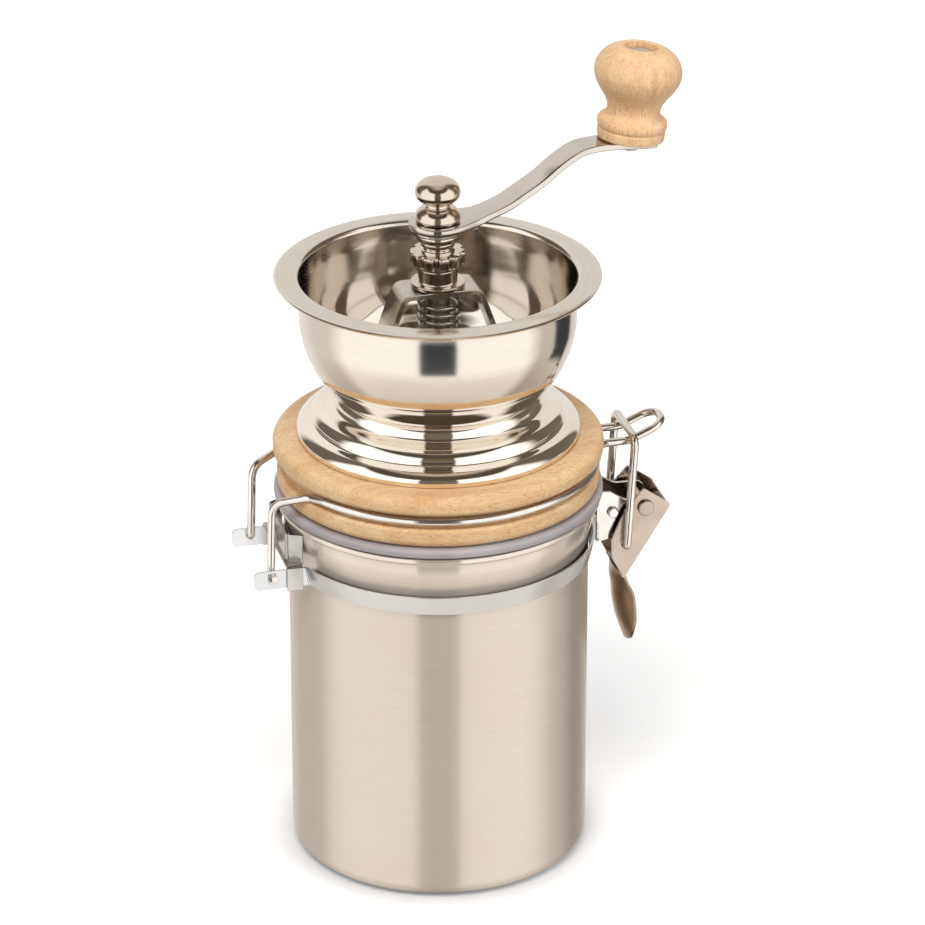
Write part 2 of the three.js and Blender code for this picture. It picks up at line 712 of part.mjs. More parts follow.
// These go up from below, so each is turned over about X.
function lidScrews() {
  const headFoot = spigotFoot + lidScrewSink - fitGap - lidScrewHeadHeight;
  const length = domeFoot + 2 * domeWall - headFoot;
  const geometry = screw(lidScrewHead, lidScrewHeadHeight, lidScrewRadius, length).rotateX(Math.PI);
  return screwRing("lid_screw", threeScrews, lidScrewPlace, headFoot, geometry, materials.brushedSteel);
}

function lowerBridge() {
  const top = spigotFoot - fitGap;
  const [halfLength, halfWidth] = [strapLength / 2, strapWidth / 2];
  const strap = prism(outline([
    [-halfWidth, -halfLength, halfWidth], [halfWidth, -halfLength, halfWidth],
    [halfWidth, halfLength, halfWidth], [-halfWidth, halfLength, halfWidth],
  ]), top - strapWall, strapWall);
  const holes = [-1, 1].map((side) =>
    drill(lidScrewRadius + fitGap, 0, side * strapScrewPlace, top - strapWall - cutOverrun, strapWall + 2 * cutOverrun));
  const middle = drill(lowerBushingSleeve + fitGap, 0, 0, top - strapWall - cutOverrun, strapWall + 2 * cutOverrun);
  return piece("lower_bridge", cut(strap, ...holes, middle), materials.brushedSteel);
}

function lowerBushing() {
  const flangeTop = spigotFoot - 2 * fitGap - strapWall;
  const flangeFoot = flangeTop - lowerBushingFlangeHeight;
  return piece("lower_bushing", turnedFrom([
    [bore, flangeFoot], [lowerBushingFlange, flangeFoot], [lowerBushingFlange, flangeTop],
    [lowerBushingSleeve, flangeTop], [lowerBushingSleeve, flangeFoot + lowerBushingLength],
    [bore, flangeFoot + lowerBushingLength],
  ], hubSides), materials.nickel);
}

function lowerBridgeScrews() {
  const geometry = screw(lidScrewHead, lidScrewHeadHeight, lidScrewRadius, strapScrewLength + lidScrewHeadHeight / 2)
    .rotateX(Math.PI);
  const headFoot = spigotFoot - 2 * fitGap - strapWall - lidScrewHeadHeight;
  return [-1, 1].map((side, i) => {
    const fastener = piece(`lower_bridge_screw_${i + 1}`, geometry, materials.brushedSteel);
    fastener.position.set(0, side * strapScrewPlace, headFoot);
    return fastener;
  });
}

// One wire: a foot in each ear, a leg up, the ring in the groove and the loop that the clasp pulls on.
function bailPath() {
  const legY = earSpread - bandWall / 2 - bailLegGap - bailWire / 2;
  const footY = earSpread + bandWall / 2 + bailWire / 2;
  const kink = Math.PI - THREE.MathUtils.degToRad(bailKinkAngle);
  const ringPoint = (angle, z) => [bailRingRadius * Math.cos(angle), bailRingRadius * Math.sin(angle), z];
  const loopHalf = loopSpread / 2;
  const loopTurn = Math.asin((loopHalf + bailWire) / bailRingRadius);
  const tipX = canisterRadius + loopReach;
  const tipZ = bailZ - loopLift + loopRise;
  const levelX = canisterRadius + loopRootReach + grooveDepth + 2 * bailWire;
  const steps = Math.round(THREE.MathUtils.radToDeg(kink - loopTurn) / bailRingStep);
  const half = [
    [hingeX, footY, hingeZ], [hingeX, legY, hingeZ, bailFootBend],
    [hingeX + bailShoulderInset, legY, hingeZ + bailShoulderRise, bailBend],
    [...ringPoint(kink, bailZ - bailKinkDrop), bailBend],
  ];
  for (let i = 1; i < steps; i++) half.push(ringPoint(THREE.MathUtils.lerp(kink, loopTurn, i / steps), bailZ));
  half.push([...ringPoint(loopTurn, bailZ), bailWire]);
  half.push([canisterRadius + loopRootReach, loopHalf, bailZ - loopLift, bailWire]);
  half.push([levelX, loopHalf, bailZ - loopLift, loopHalf]);
  half.push([tipX, loopHalf, tipZ, loopHalf - bailWire / 4]);
  const mirrored = half.map(([x, y, ...rest]) => [x, -y, ...rest]).reverse();
  return rounded([...half, ...mirrored]);
}

const bailWirePiece = () => piece("bail_wire", wire(bailPath(), bailWire), materials.chrome);

function claspBracket() {
  const back = bandRadius + bandFlare + fitGap;
  const foot = bandFoot - bracketDrop;
  const top = bandTop + bracketRise;
  const cheek = outline([
    [back, foot, bracketWall], [leverX - bracketCheek, foot + bracketCheek / 2, bracketCheek],
    [leverX + bracketCheek, leverZ - bracketCheek, bracketCheek], [leverX + bracketCheek, leverZ + bracketCheek / 2, bracketCheek],
    [leverX - bracketNeck, leverZ + bracketCheek / 2, bracketCheek], [back + bracketCheek, top], [back, top, bracketWall],
  ]);
  const cheeks = [-1, 1].map((side) => upright(cheek, side * (bracketSpread - bracketWall) / 2, bracketWall));
  const plate = block(back, back + bracketWall, -bracketSpread / 2, bracketSpread / 2, foot, bandTop);
  const across = (radius, x, z) =>
    round(radius, -bracketSpread, 2 * bracketSpread).rotateX(Math.PI / 2).translate(x, 0, z);
  const rivetHole = across(rivetShank / 2 + fitGap, leverX, leverZ);
  const pinHole = across(bracketPinRadius + fitGap - bracketPinProud, canisterRadius + bracketPinReach, bandFoot + bracketPinRise);
  return piece("clasp_bracket", cut(joined(plate, ...cheeks), rivetHole, pinHole), materials.chrome);
}

// A pin along Y with a head at each end.
function headedPin(name, shank, head, headHeight, between, material) {
  const half = between / 2;
  const geometry = turnedFrom([
    [0, -half - headHeight], [head, -half - headHeight, headHeight / 2], [head, -half], [shank, -half],
    [shank, half], [head, half], [head, half + headHeight, headHeight / 2], [0, half + headHeight],
  ], fastenerSides).rotateX(Math.PI / 2);
  return piece(name, geometry, material);
}

function bracketPin() {
  const shank = bracketPinRadius - bracketPinProud;
  const pin = headedPin("bracket_pin", shank, bracketPinRadius, bracketPinProud, bracketSpread + 2 * fitGap, materials.chrome);
  pin.position.set(canisterRadius + bracketPinReach, 0, bandFoot + bracketPinRise);
  return pin;
}

function leverRivet() {
  const rivet = headedPin(
    "lever_rivet", rivetShank / 2, rivetHead / 2, rivetHeadHeight, leverSpread + 2 * fitGap, materials.nickel,
  );
  rivet.position.set(leverX, 0, leverZ);
  return rivet;
}

// The finger tab as slices across Y, dished towards the canister and leaning out at its end.
function fingerTab() {
  const [neckX, neckZ] = leverTip;
  const rows = [];
  for (let i = 0; i <= tabSlices; i++) {
    const share = i / tabSlices;
    const half = (leverSpread / 2) * valueAt(tabWidthShares, share);
    const x = neckX + tabLean * valueAt(tabLeanShares, share);
    const dish = tabDish * valueAt(tabDishShares, share);
    const row = [];
    for (let j = 0; j <= tabCuts; j++) {
      const across = (2 * j) / tabCuts - 1;
      row.push([x - dish * (1 - across ** 2), half * across, neckZ + leverWall - tabLength * share]);
    }
    rows.push(row);
  }
  return thickened(rows, leverWall);
}

// A closed skin over a grid of points, with its second face moved along +X.
function thickened(rows, wall) {
  const [down, across] = [rows.length, rows[0].length];
  const points = [...rows.flat(), ...rows.flat().map(([x, y, z]) => [x + wall, y, z])];
  const back = down * across;
  const at = (i, j, face) => i * across + j + face * back;
  const index = [];
  const quad = (a, b, c, d) => index.push(a, b, c, a, c, d);
  for (let i = 0; i + 1 < down; i++)
    for (let j = 0; j + 1 < across; j++) {
      quad(at(i, j, 0), at(i, j + 1, 0), at(i + 1, j + 1, 0), at(i + 1, j, 0));
      quad(at(i, j, 1), at(i + 1, j, 1), at(i + 1, j + 1, 1), at(i, j + 1, 1));
    }
  for (let i = 0; i + 1 < down; i++) {
    quad(at(i, 0, 0), at(i + 1, 0, 0), at(i + 1, 0, 1), at(i, 0, 1));
    quad(at(i, across - 1, 0), at(i, across - 1, 1), at(i + 1, across - 1, 1), at(i + 1, across - 1, 0));
  }
  for (let j = 0; j + 1 < across; j++) {
    quad(at(0, j, 0), at(0, j, 1), at(0, j + 1, 1), at(0, j + 1, 0));
    quad(at(down - 1, j, 0), at(down - 1, j + 1, 0), at(down - 1, j + 1, 1), at(down - 1, j, 1));
  }
  const position = new THREE.Float32BufferAttribute(points.flat(), 3);
  return new THREE.BufferGeometry().setAttribute("position", position).setIndex(index);
}

function claspLever() {
  const side = outline([
    leverTopCorner, leverOuterCorner, leverTip, leverInnerKnee.concat(leverSpread / 4),
    leverInnerBulge.concat(leverSpread / 4), leverInnerTop.concat(leverSpread / 4),
  ]);
  const plates = [-1, 1].map((hand) => upright(side, (hand * (leverSpread - leverWall)) / 2, leverWall));
  const edge = outline([leverTip, leverOuterCorner], false);
  const web = upright(sheet(edge, leverWall), 0, leverSpread);
  const foot = [canisterRadius + linkFootReach - leverX, -linkFootDrop];
  const across = (diameter, [x, z]) =>
    round(diameter / 2, -leverSpread, 2 * leverSpread).rotateX(Math.PI / 2).translate(x, 0, z);
  const body = joined(...plates, web, fingerTab());
  const lever = piece("clasp_lever", cut(body, across(rivetShank + 2 * fitGap, [0, 0]), across(leverHole, foot)), materials.nickel);
  lever.position.set(leverX, 0, leverZ);
  return lever;
}

function claspLink() {
  const legY = leverSpread / 2 + linkGap + linkWire / 2;
  const footX = canisterRadius + linkFootReach;
  const footZ = leverZ - linkFootDrop;
  const topX = canisterRadius + linkTopReach;
  const half = [
    [footX, legY - linkFootLength, footZ], [footX, legY, footZ, linkFootBend], [topX, legY, barZ, linkBend],
  ];
  const mirrored = half.map(([x, y, ...rest]) => [x, -y, ...rest]).reverse();
  return piece("clasp_link", wire(rounded([...half, ...mirrored]), linkWire), materials.nickel);
}

function driveShaft() {
  const shoulder = springSeatFoot - fitGap;
  const coneTopZ = coneSeat + coneHeight + fitGap;
  const studFoot = finialFoot - fitGap;
  const bar = turnedFrom([
    [0, shaftFoot], [shaftRadius, shaftFoot, shaftRadius / 4], [shaftRadius, coneTopZ], [shaftShoulder, coneTopZ],
    [shaftShoulder, coneTopZ + shoulderHeight], [shaftRadius, coneTopZ + shoulderHeight],
    [shaftRadius, shoulder - shoulderHeight], [shaftShoulder, shoulder - shoulderHeight], [shaftShoulder, shoulder],
    [shaftRadius, shoulder], [shaftRadius, studFoot], [studRadius, studFoot],
    [studRadius, studFoot + studLength, studRadius / 4], [0, studFoot + studLength],
  ], hubSides);
  const flats = [-1, 1].map((side) => {
    const face = side * (shaftRadius - flatInset);
    const past = side * (shaftRadius + cutOverrun);
    return block(-shaftRadius - cutOverrun, shaftRadius + cutOverrun, Math.min(face, past), Math.max(face, past),
      plateFoot - fitGap, studFoot + cutOverrun).rotateZ(THREE.MathUtils.degToRad(crankAngle));
  });
  const shaft = cut(bar, ...flats);
  return piece("drive_shaft", shaft, materials.brushedSteel);
}

// The hole that fits over the shaft's two flats.
function flatHole(foot, height) {
  const across = shaftRadius - flatInset + fitGap;
  return common(
    drill(bore, 0, 0, foot - cutOverrun, height + 2 * cutOverrun),
    block(-bore - cutOverrun, bore + cutOverrun, -across, across, foot - cutOverrun, foot + height + cutOverrun),
  );
}

function burrNut() {
  const top = coneSeat - fitGap;
  const nut = new THREE.CylinderGeometry(burrNutAcross / Math.sqrt(3), burrNutAcross / Math.sqrt(3), burrNutHeight, 6)
    .rotateX(Math.PI / 2).translate(0, 0, top - burrNutHeight / 2);
  const hole = drill(bore, 0, 0, top - burrNutHeight - cutOverrun, burrNutHeight + 2 * cutOverrun);
  return piece("burr_nut", cut(nut, hole), materials.brushedSteel);
}

const springSeat = () =>
  piece("spring_seat", round(springSeatRadius, springSeatFoot, springSeatHeight, bore, hubSides), materials.nickel);

// A helix whose first and last curls' ends lie against the seat and the crown.
function burrSpring() {
  const low = springSeatTop + fitGap + springWire / 2;
  const high = springTop - springWire / 2;
  const points = [];
  const count = springCurls * springSteps;
  for (let i = 0; i <= count; i++) {
    const angle = (i * 2 * Math.PI) / springSteps;
    const z = THREE.MathUtils.lerp(low, high, i / count);
    points.push(new THREE.Vector3(springRadius * Math.cos(angle), springRadius * Math.sin(angle), z));
  }
  let least = Infinity;
  points.forEach((a, i) => points.slice(i + springSteps / 2).forEach((b) => (least = Math.min(least, a.distanceTo(b)))));
  console.log(`burr_spring: least gap to itself ${(least - springWire).toFixed(2)} mm`);
  return piece("burr_spring", wire(points, springWire, springSides), materials.brushedSteel);
}

const thrustWasher = () =>
  piece("thrust_washer", round(washerRadius, washerFoot, washerHeight, bore, hubSides), materials.nickel);

// A scalloped wheel with a plain hub on top.
function adjustingNut() {
  const points = [];
  const steps = starPoints * 4;
  for (let i = 0; i < steps; i++) {
    const angle = (i * 2 * Math.PI) / steps;
    const radius = starRadius * (1 - starNotchShare * Math.max(0, Math.cos(angle * starPoints)));
    points.push(new THREE.Vector2(radius * Math.cos(angle), radius * Math.sin(angle)));
  }
  const hub = round(nutHubRadius, starFoot, starHeight + nutHubHeight, 0, hubSides);
  const hole = drill(bore, 0, 0, starFoot - cutOverrun, starHeight + nutHubHeight + 2 * cutOverrun);
  return piece("adjusting_nut", cut(joined(prism(points, starFoot, starHeight), hub), hole), materials.nickel);
}

const shaftCollar = () =>
  piece("shaft_collar", round(collarRadius, collarFoot, collarHeight, bore, hubSides), materials.nickel);

// The lock plate's strip runs out along the arm and its tapered tab turns down past the star wheel.
function lockPlate() {
  const tabOuter = plateReach;
  const line = outline([
    [-plateEyeRadius - cutOverrun, plateFoot + plateWall], [tabOuter, plateFoot + plateWall, plateBend],
    [tabOuter, plateFoot + plateWall - plateTabDrop],
  ], false);
  const strip = upright(sheet(line.slice().reverse(), plateWall), 0, 2 * (plateEyeRadius + cutOverrun));
  const half = plateStrip / 2;
  const plan = joined(
    round(plateEyeRadius, plateFoot - plateTabDrop, plateTabDrop + plateWall + cutOverrun, 0, hubSides),
    block(0, plateReach + cutOverrun, -half, half, plateFoot - plateTabDrop, plateFoot + plateWall + cutOverrun),
  );
  const tipFoot = plateFoot + plateWall - plateTabDrop - cutOverrun;
  const taper = new THREE.ExtrudeGeometry(new THREE.Shape(outline([
    [-half - cutOverrun, plateFoot + plateWall + cutOverrun], [-half - cutOverrun, plateFoot - plateBend],
    [-plateTabTip / 2, tipFoot], [plateTabTip / 2, tipFoot],
    [half + cutOverrun, plateFoot - plateBend], [half + cutOverrun, plateFoot + plateWall + cutOverrun],
  ])), { depth: plateReach + cutOverrun, bevelEnabled: false }).rotateX(Math.PI / 2).rotateZ(Math.PI / 2);
  const eye = round(plateEyeRadius + cutOverrun, plateFoot - cutOverrun, plateWall + 2 * cutOverrun, 0, hubSides);
  const shape = common(strip, plan, joined(taper, eye));
  return piece("lock_plate", cut(shape, flatHole(plateFoot, plateWall)), materials.polishedSteel);
}

const armPlaces = () => armOutlineShares.map(([out, up]) => [out * armReach, armFoot + armWall + up * armRise]);

function crankArm() {
  const top = armFoot + armWall;
  const line = outline([[-armEyeRadius - cutOverrun, top], ...armPlaces()], false);
  const strip = upright(sheet(line.slice().reverse(), armWall), 0, 2 * (armEyeRadius + cutOverrun));
  const height = armRise + armWall + 2 * cutOverrun;
  const half = armWidth / 2;
  const plan = joined(
    round(armEyeRadius, armFoot - cutOverrun, height, 0, hubSides),
    prism(outline([
      [0, -armShoulder], [armTaperEnd, -half], [armReach, -half, armCorner], [armReach, half, armCorner],
      [armTaperEnd, half], [0, armShoulder],
    ]), armFoot - cutOverrun, height),
  );
  const arm = cut(common(strip, plan), flatHole(armFoot, armWall), knobBore());
  return piece("crank_arm", arm, materials.polishedSteel);
}

// The pad is the arm's last straight stretch; the knob stands square to it.
function padFrame() {
  const [[fromX, fromZ], [toX, toZ]] = armPlaces().slice(-2);
  const slope = (toZ - fromZ) / (toX - fromX);
  const z = fromZ + (knobPlace - fromX) * slope;
  return { x: knobPlace, z, lean: -Math.atan(slope) };
}

const onPad = (geometry) => {
  const { x, z, lean } = padFrame();
  return geometry.rotateY(lean).translate(x, 0, z);
};

const knobBore = () => onPad(drill(knobPinRadius + fitGap, 0, 0, -armWall - 2 * cutOverrun, armWall + 4 * cutOverrun));

function finialNut() {
  const profile = finialOutlineShares.map(([out, up]) => [out * finialRadius, finialFoot + up * finialHeight]);
  const bell = turnedFrom([[0, finialFoot], ...profile], hubSides);
  const hole = drill(studRadius + fitGap, 0, 0, finialFoot - cutOverrun, finialBoreDepth + cutOverrun);
  return piece("finial_nut", cut(bell, hole), materials.polishedSteel);
}

function crankKnob() {
  const side = knobOutlineShares.map(([out, up]) => [out * knobRadius, fitGap + up * knobHeight]);
  const floor = fitGap + knobHeight - knobRecessDepth;
  const hole = knobPinRadius + fitGap;
  const knob = turnedFrom([
    [hole, fitGap], ...side, [knobRecessRadius, fitGap + knobHeight], [knobRecessRadius, floor], [hole, floor],
  ], hubSides);
  return piece("crank_knob", onPad(knob), materials.beech);
}

function knobPin() {
  const floor = fitGap + knobHeight - knobRecessDepth + fitGap;
  const tailTop = -armWall - fitGap;
  const pin = turnedFrom([
    [0, tailTop - knobPinTailHeight], [knobPinTail, tailTop - knobPinTailHeight, knobPinTailHeight / 2],
    [knobPinTail, tailTop], [knobPinRadius, tailTop], [knobPinRadius, floor], [knobPinHead, floor],
    [knobPinHead, floor + knobPinHeadHeight, knobPinHeadHeight / 2], [0, floor + knobPinHeadHeight],
  ], fastenerSides);
  return piece("knob_pin", onPad(pin), materials.brushedSteel);
}

const grinder = new THREE.Group();
const base = new THREE.Group().add(
  canisterBody(), neckBand(), hingeClip(), claspBracket(), bracketPin(), leverRivet(),
);
const clasp = new THREE.Group().add(claspLever(), claspLink());
const lid = new THREE.Group().add(
  lidRing(), siliconeGasket(), steppedDome(), hopperBowl(), hopperBridge(), ...hopperRivets(), guideBushing(),
  outerBurr(), ...burrScrews(), ...lidScrews(), lowerBridge(), lowerBushing(), ...lowerBridgeScrews(), bailWirePiece(),
);
const adjuster = new THREE.Group().add(thrustWasher(), adjustingNut());
const crank = new THREE.Group().add(lockPlate(), crankArm(), knobPin(), crankKnob());
crank.rotation.z = THREE.MathUtils.degToRad(crankAngle);
const spindle = new THREE.Group().add(
  driveShaft(), innerBurr(), burrNut(), springSeat(), burrSpring(), shaftCollar(), finialNut(), crank,
);
grinder.add(base, clasp, lid, adjuster, spindle);

export default grinder;
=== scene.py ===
import bpy
import bmesh
import json
from math import asin, cos, pi, radians, sin, sqrt, tan
from mathutils import Matrix, Vector

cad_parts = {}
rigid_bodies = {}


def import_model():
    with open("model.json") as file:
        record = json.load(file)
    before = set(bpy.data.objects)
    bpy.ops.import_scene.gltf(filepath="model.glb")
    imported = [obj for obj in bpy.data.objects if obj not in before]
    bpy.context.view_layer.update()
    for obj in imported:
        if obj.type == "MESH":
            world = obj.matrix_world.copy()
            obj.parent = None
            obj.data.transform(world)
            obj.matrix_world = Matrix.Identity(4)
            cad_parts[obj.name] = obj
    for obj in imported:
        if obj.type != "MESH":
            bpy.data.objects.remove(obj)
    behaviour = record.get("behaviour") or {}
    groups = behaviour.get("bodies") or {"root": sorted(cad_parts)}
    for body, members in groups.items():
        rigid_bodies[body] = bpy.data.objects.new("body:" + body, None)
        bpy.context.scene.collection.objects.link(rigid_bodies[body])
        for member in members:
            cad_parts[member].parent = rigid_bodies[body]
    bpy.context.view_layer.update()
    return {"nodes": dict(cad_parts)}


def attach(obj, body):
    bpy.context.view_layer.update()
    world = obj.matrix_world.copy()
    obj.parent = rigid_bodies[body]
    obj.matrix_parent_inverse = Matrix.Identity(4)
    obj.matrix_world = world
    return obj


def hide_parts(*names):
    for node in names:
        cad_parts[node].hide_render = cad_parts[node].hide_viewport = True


# Hand cranked coffee grinder on a clamp-top canister. Dictionaries are in millimetres, the scene in metres.
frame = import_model()
scene = bpy.context.scene
mm = 0.001
print("frame loaded with", len(frame["nodes"]), "nodes")


def addObject(name, data):
    made = bpy.data.objects.new(name, data)
    scene.collection.objects.link(made)
    return made


# camera
lens = {"place": (-376.0, -1454.5, 838.2), "length": 194.6, "pitch": 25.0, "azimuth": -14.8}
cameraData = bpy.data.cameras.new("camera")
cameraData.lens = lens["length"]
cameraData.clip_end = 50
camera = addObject("camera", cameraData)
camera.location = Vector(lens["place"]) * mm
camera.rotation_euler = (radians(90 - lens["pitch"]), 0, radians(lens["azimuth"]))
scene.camera = camera
scene.view_settings.view_transform = "Standard"
print("camera placed")


# node helpers
def linear(hexColour):  # sRGB hex to the linear colour that shaders take
    channels = [int(hexColour[i:i + 2], 16) / 255 for i in (1, 3, 5)]
    return tuple(c / 12.92 if c <= 0.04045 else ((c + 0.055) / 1.055) ** 2.4 for c in channels) + (1.0,)


def feed(tree, node, inputs):  # an input is a value, a hex colour or another node's socket
    for key, value in inputs.items():
        if isinstance(value, bpy.types.NodeSocket):
            tree.links.new(value, node.inputs[key])
        else:
            node.inputs[key].default_value = linear(value) if isinstance(value, str) else value


def addNode(tree, kind, inputs=None, **settings):
    node = tree.nodes.new(kind)
    for key, value in settings.items():
        setattr(node, key, value)
    feed(tree, node, inputs or {})
    return node


def shade(tree, kind, inputs=None, output=0, **settings):  # one output of a new shader node
    return addNode(tree, "ShaderNode" + kind, inputs, **settings).outputs[output]


def shape(tree, kind, inputs=None, **settings):  # the first output of a new geometry node
    return addNode(tree, "GeometryNode" + kind, inputs, **settings).outputs[0]


def maths(tree, operation, *values):
    return shade(tree, "Math", dict(enumerate(values)), operation=operation)


def vectorMaths(tree, output, operation, *values):
    return shade(tree, "VectorMath", dict(enumerate(values)), output=output, operation=operation)


def spread(tree, value, start, end, low=0.0, high=1.0, kind="LINEAR"):  # maps one range to another
    return shade(
        tree, "MapRange", {"Value": value, "From Min": start, "From Max": end, "To Min": low, "To Max": high},
        interpolation_type=kind)


def noise(tree, place, scale, detail, **more):
    return shade(tree, "TexNoise", {"Vector": place, "Scale": scale, "Detail": detail, **more})


def blend(tree, share, one, other, kind="MIX"):  # two colours in one
    return shade(tree, "Mix", {0: share, 6: one, 7: other}, 2, data_type="RGBA", blend_type=kind)


def pick(tree, share, one, other):  # two shaders in one
    return shade(tree, "MixShader", {0: share, 1: one, 2: other})


def ramp(tree, value, stops):  # colour stops as (position, colour)
    node = addNode(tree, "ShaderNodeValToRGB", {0: value})
    elements = node.color_ramp.elements
    while len(elements) < len(stops):
        elements.new(1.0)
    for element, (position, colour) in zip(elements, stops):
        element.position = position
        element.color = linear(colour) if isinstance(colour, str) else colour
    return node.outputs[0]


def openness(tree, reach):  # 1 in the open, less in a corner
    return shade(tree, "AmbientOcclusion", {"Distance": reach * mm}, output="AO", samples=8)


def reliefOf(tree, height, strength, depth):
    return shade(tree, "Bump", {"Height": height, "Strength": strength, "Distance": depth * mm})


def emptyMaterial(name):
    material = bpy.data.materials.new(name)
    material.use_nodes = True
    material.node_tree.nodes.clear()
    return material, material.node_tree


def newMaterial(name):
    material, tree = emptyMaterial(name)
    shader = addNode(tree, "ShaderNodeBsdfPrincipled")
    addNode(tree, "ShaderNodeOutputMaterial", {"Surface": shader.outputs[0]})
    return material, tree, shader, shade(tree, "TexCoord", output="Object")


# floor, world and lights
studio = {
    "tableReach": 4000, "tableDrop": 0.15, "floorLift": 0.275, "contactReach": 15, "contactShade": 0.7,
    "softboxHalfGap": 15.5, "softboxEnd": 84, "darkFrom": -33, "darkTo": -16, "ceilingFrom": 55,
    "worldStrength": 1.3, "diffuseShare": 0.82, "aimHeight": 130}
# each lamp: metres right, forward, up and across, then watts
lamps = {"key": (-0.6, 3.0, 5.2, 3.0, 185), "fill": (3.6, 2.4, 2.7, 2.7, 45)}
towardsCamera = Vector((lens["place"][0], lens["place"][1], 0)).normalized()
cameraRight = Vector((-towardsCamera.y, towardsCamera.x, 0))
black, white = (0, 0, 0, 1), (1, 1, 1, 1)


def buildFloor():
    reach = studio["tableReach"] * mm
    points = [
        (cameraRight * side + towardsCamera * back) * reach
        for side, back in ((1, 1), (1, -1), (-1, -1), (-1, 1))]
    mesh = bpy.data.meshes.new("floor")
    mesh.from_pydata([(p.x, p.y, -studio["tableDrop"] * mm) for p in points], [], [list(range(len(points)))])
    floor = addObject("floor", mesh)
    # white laminate, bright to the camera; polished metal sees the studio through it
    material, tree = emptyMaterial("whiteLaminate")
    ray = addNode(tree, "ShaderNodeLightPath").outputs
    # painted contact shadow: the floor's colour and its glow darken where the object stands close
    paintedShadow = spread(tree, openness(tree, studio["contactReach"]), 0.5, 0.98, studio["contactShade"], 1.0)
    bright = shade(tree, "BsdfDiffuse", {"Color": paintedShadow})
    glow = maths(tree, "MULTIPLY", paintedShadow, studio["floorLift"])
    lift = shade(tree, "Emission", {"Color": (0.86, 0.92, 1, 1), "Strength": glow})
    seen = shade(tree, "AddShader", {0: bright, 1: lift})
    bounce = shade(tree, "BsdfDiffuse", {"Color": "#A8A49F"})
    clear = shade(tree, "BsdfTransparent")
    unseen = pick(tree, ray["Is Glossy Ray"], bounce, clear)
    addNode(tree, "ShaderNodeOutputMaterial", {"Surface": pick(tree, ray["Is Camera Ray"], unseen, seen)})
    mesh.materials.append(material)


def buildWorld():  # stops are at degrees: round from the camera's direction, or up from the horizon
    world = bpy.data.worlds.new("studio")
    scene.world = world
    world.use_nodes = True
    tree = world.node_tree
    tree.nodes.clear()
    direction = shade(tree, "TexCoord", output="Generated")
    right = vectorMaths(tree, "Value", "DOT_PRODUCT", direction, cameraRight)
    front = vectorMaths(tree, "Value", "DOT_PRODUCT", direction, towardsCamera)
    share = spread(tree, maths(tree, "ARCTAN2", right, front), -pi, pi)
    up = shade(tree, "SeparateXYZ", {0: direction}, output="Z")
    level = spread(tree, maths(tree, "ARCSINE", up), -pi / 2, pi / 2)
    around = lambda *stops: ramp(tree, share, [((degrees + 180) / 360, colour) for degrees, colour in stops])
    upwards = lambda *stops, value=level: ramp(
        tree, value, [((degrees + 90) / 180, colour) for degrees, colour in stops])
    mixed = lambda *parts: blend(tree, *parts)
    backdrop, dim, box = "#D2CEC9", "#CFC9C3", "#FFFDF9"
    gap, end, roofFrom = studio["softboxHalfGap"], studio["softboxEnd"], studio["ceilingFrom"]
    darkFrom, darkTo = studio["darkFrom"], studio["darkTo"]
    walls = around(  # softboxes on both sides, dimmer towards the back
        (-174, backdrop), (-163, "#DBD6D1"), (-144, "#DBD6D1"), (-125, dim), (-end - 18, "#D4CDC6"),
        (-end, box), (end - 4, box), (end + 12, "#C1BAB2"), (150, "#D0C9C3"), (165, backdrop))
    openings = around(  # the unlit space between the softboxes and beside the right one
        (-gap - 0.8, black), (-gap + 0.8, white), (gap - 0.8, white), (gap + 0.8, black),
        (112, black), (115, white), (140, white), (144, black))
    raised = upwards((darkFrom - 2, black), (darkFrom + 1, white))
    dark = upwards((darkFrom, "#34373C"), (darkTo - 3, "#3A3C3F"), (darkTo + 3, "#6B6154"), (50, "#5D5347"))
    leaning = maths(tree, "MULTIPLY_ADD", front, 0.14, level)
    ceiling = upwards((roofFrom - 3, black), (roofFrom + 3, white), value=leaning)  # lower in front
    ground = upwards((-78, "#7F756B"), (-66, "#D1C9C0"), (-45, "#E3DCD5"), (-30, white))
    flanks = around(
        (-140, black), (-130, white), (-end - 14, white), (-end - 4, black), (end + 4, black),
        (end + 14, white), (130, white), (140, black))
    aboveTable = upwards((-12, black), (-4, white))
    unlit = mixed(mixed(flanks, black, aboveTable), walls, "#5F574F")
    sides = mixed(mixed(openings, black, raised), unlit, dark)
    tinted = mixed(1.0, sides, ground, "MULTIPLY")
    roof = upwards((66, "#4A4239"), (80, "#B9B1A8"))
    rear = spread(tree, front, -0.1, -0.35, kind="SMOOTHSTEP")
    sky = mixed(ceiling, tinted, mixed(rear, roof, backdrop))
    ray = addNode(tree, "ShaderNodeLightPath").outputs
    full = studio["worldStrength"]
    strength = spread(tree, ray["Is Diffuse Ray"], 0.0, 1.0, full, full * studio["diffuseShare"])
    lit = shade(tree, "Background", {"Color": sky, "Strength": strength})
    paper = shade(tree, "Background", {"Color": white, "Strength": 1})
    addNode(tree, "ShaderNodeOutputWorld", {"Surface": pick(tree, ray["Is Camera Ray"], lit, paper)})


def addLamp(name, across, towards, up, size, power):
    data = bpy.data.lights.new(name, "AREA")
    data.shape = "DISK"
    data.size = size
    data.energy = power
    data.color = linear("#FFFDFA")[:3]
    lamp = addObject(name, data)
    lamp.location = cameraRight * across + towardsCamera * towards + Vector((0, 0, up))
    aim = Vector((0, 0, studio["aimHeight"] * mm)) - lamp.location
    lamp.rotation_euler = aim.to_track_quat("-Z", "Y").to_euler()
    lamp.visible_glossy = False


buildFloor()
buildWorld()
for lampName, lampSizes in lamps.items():
    addLamp(lampName, *lampSizes)
print("studio lit")


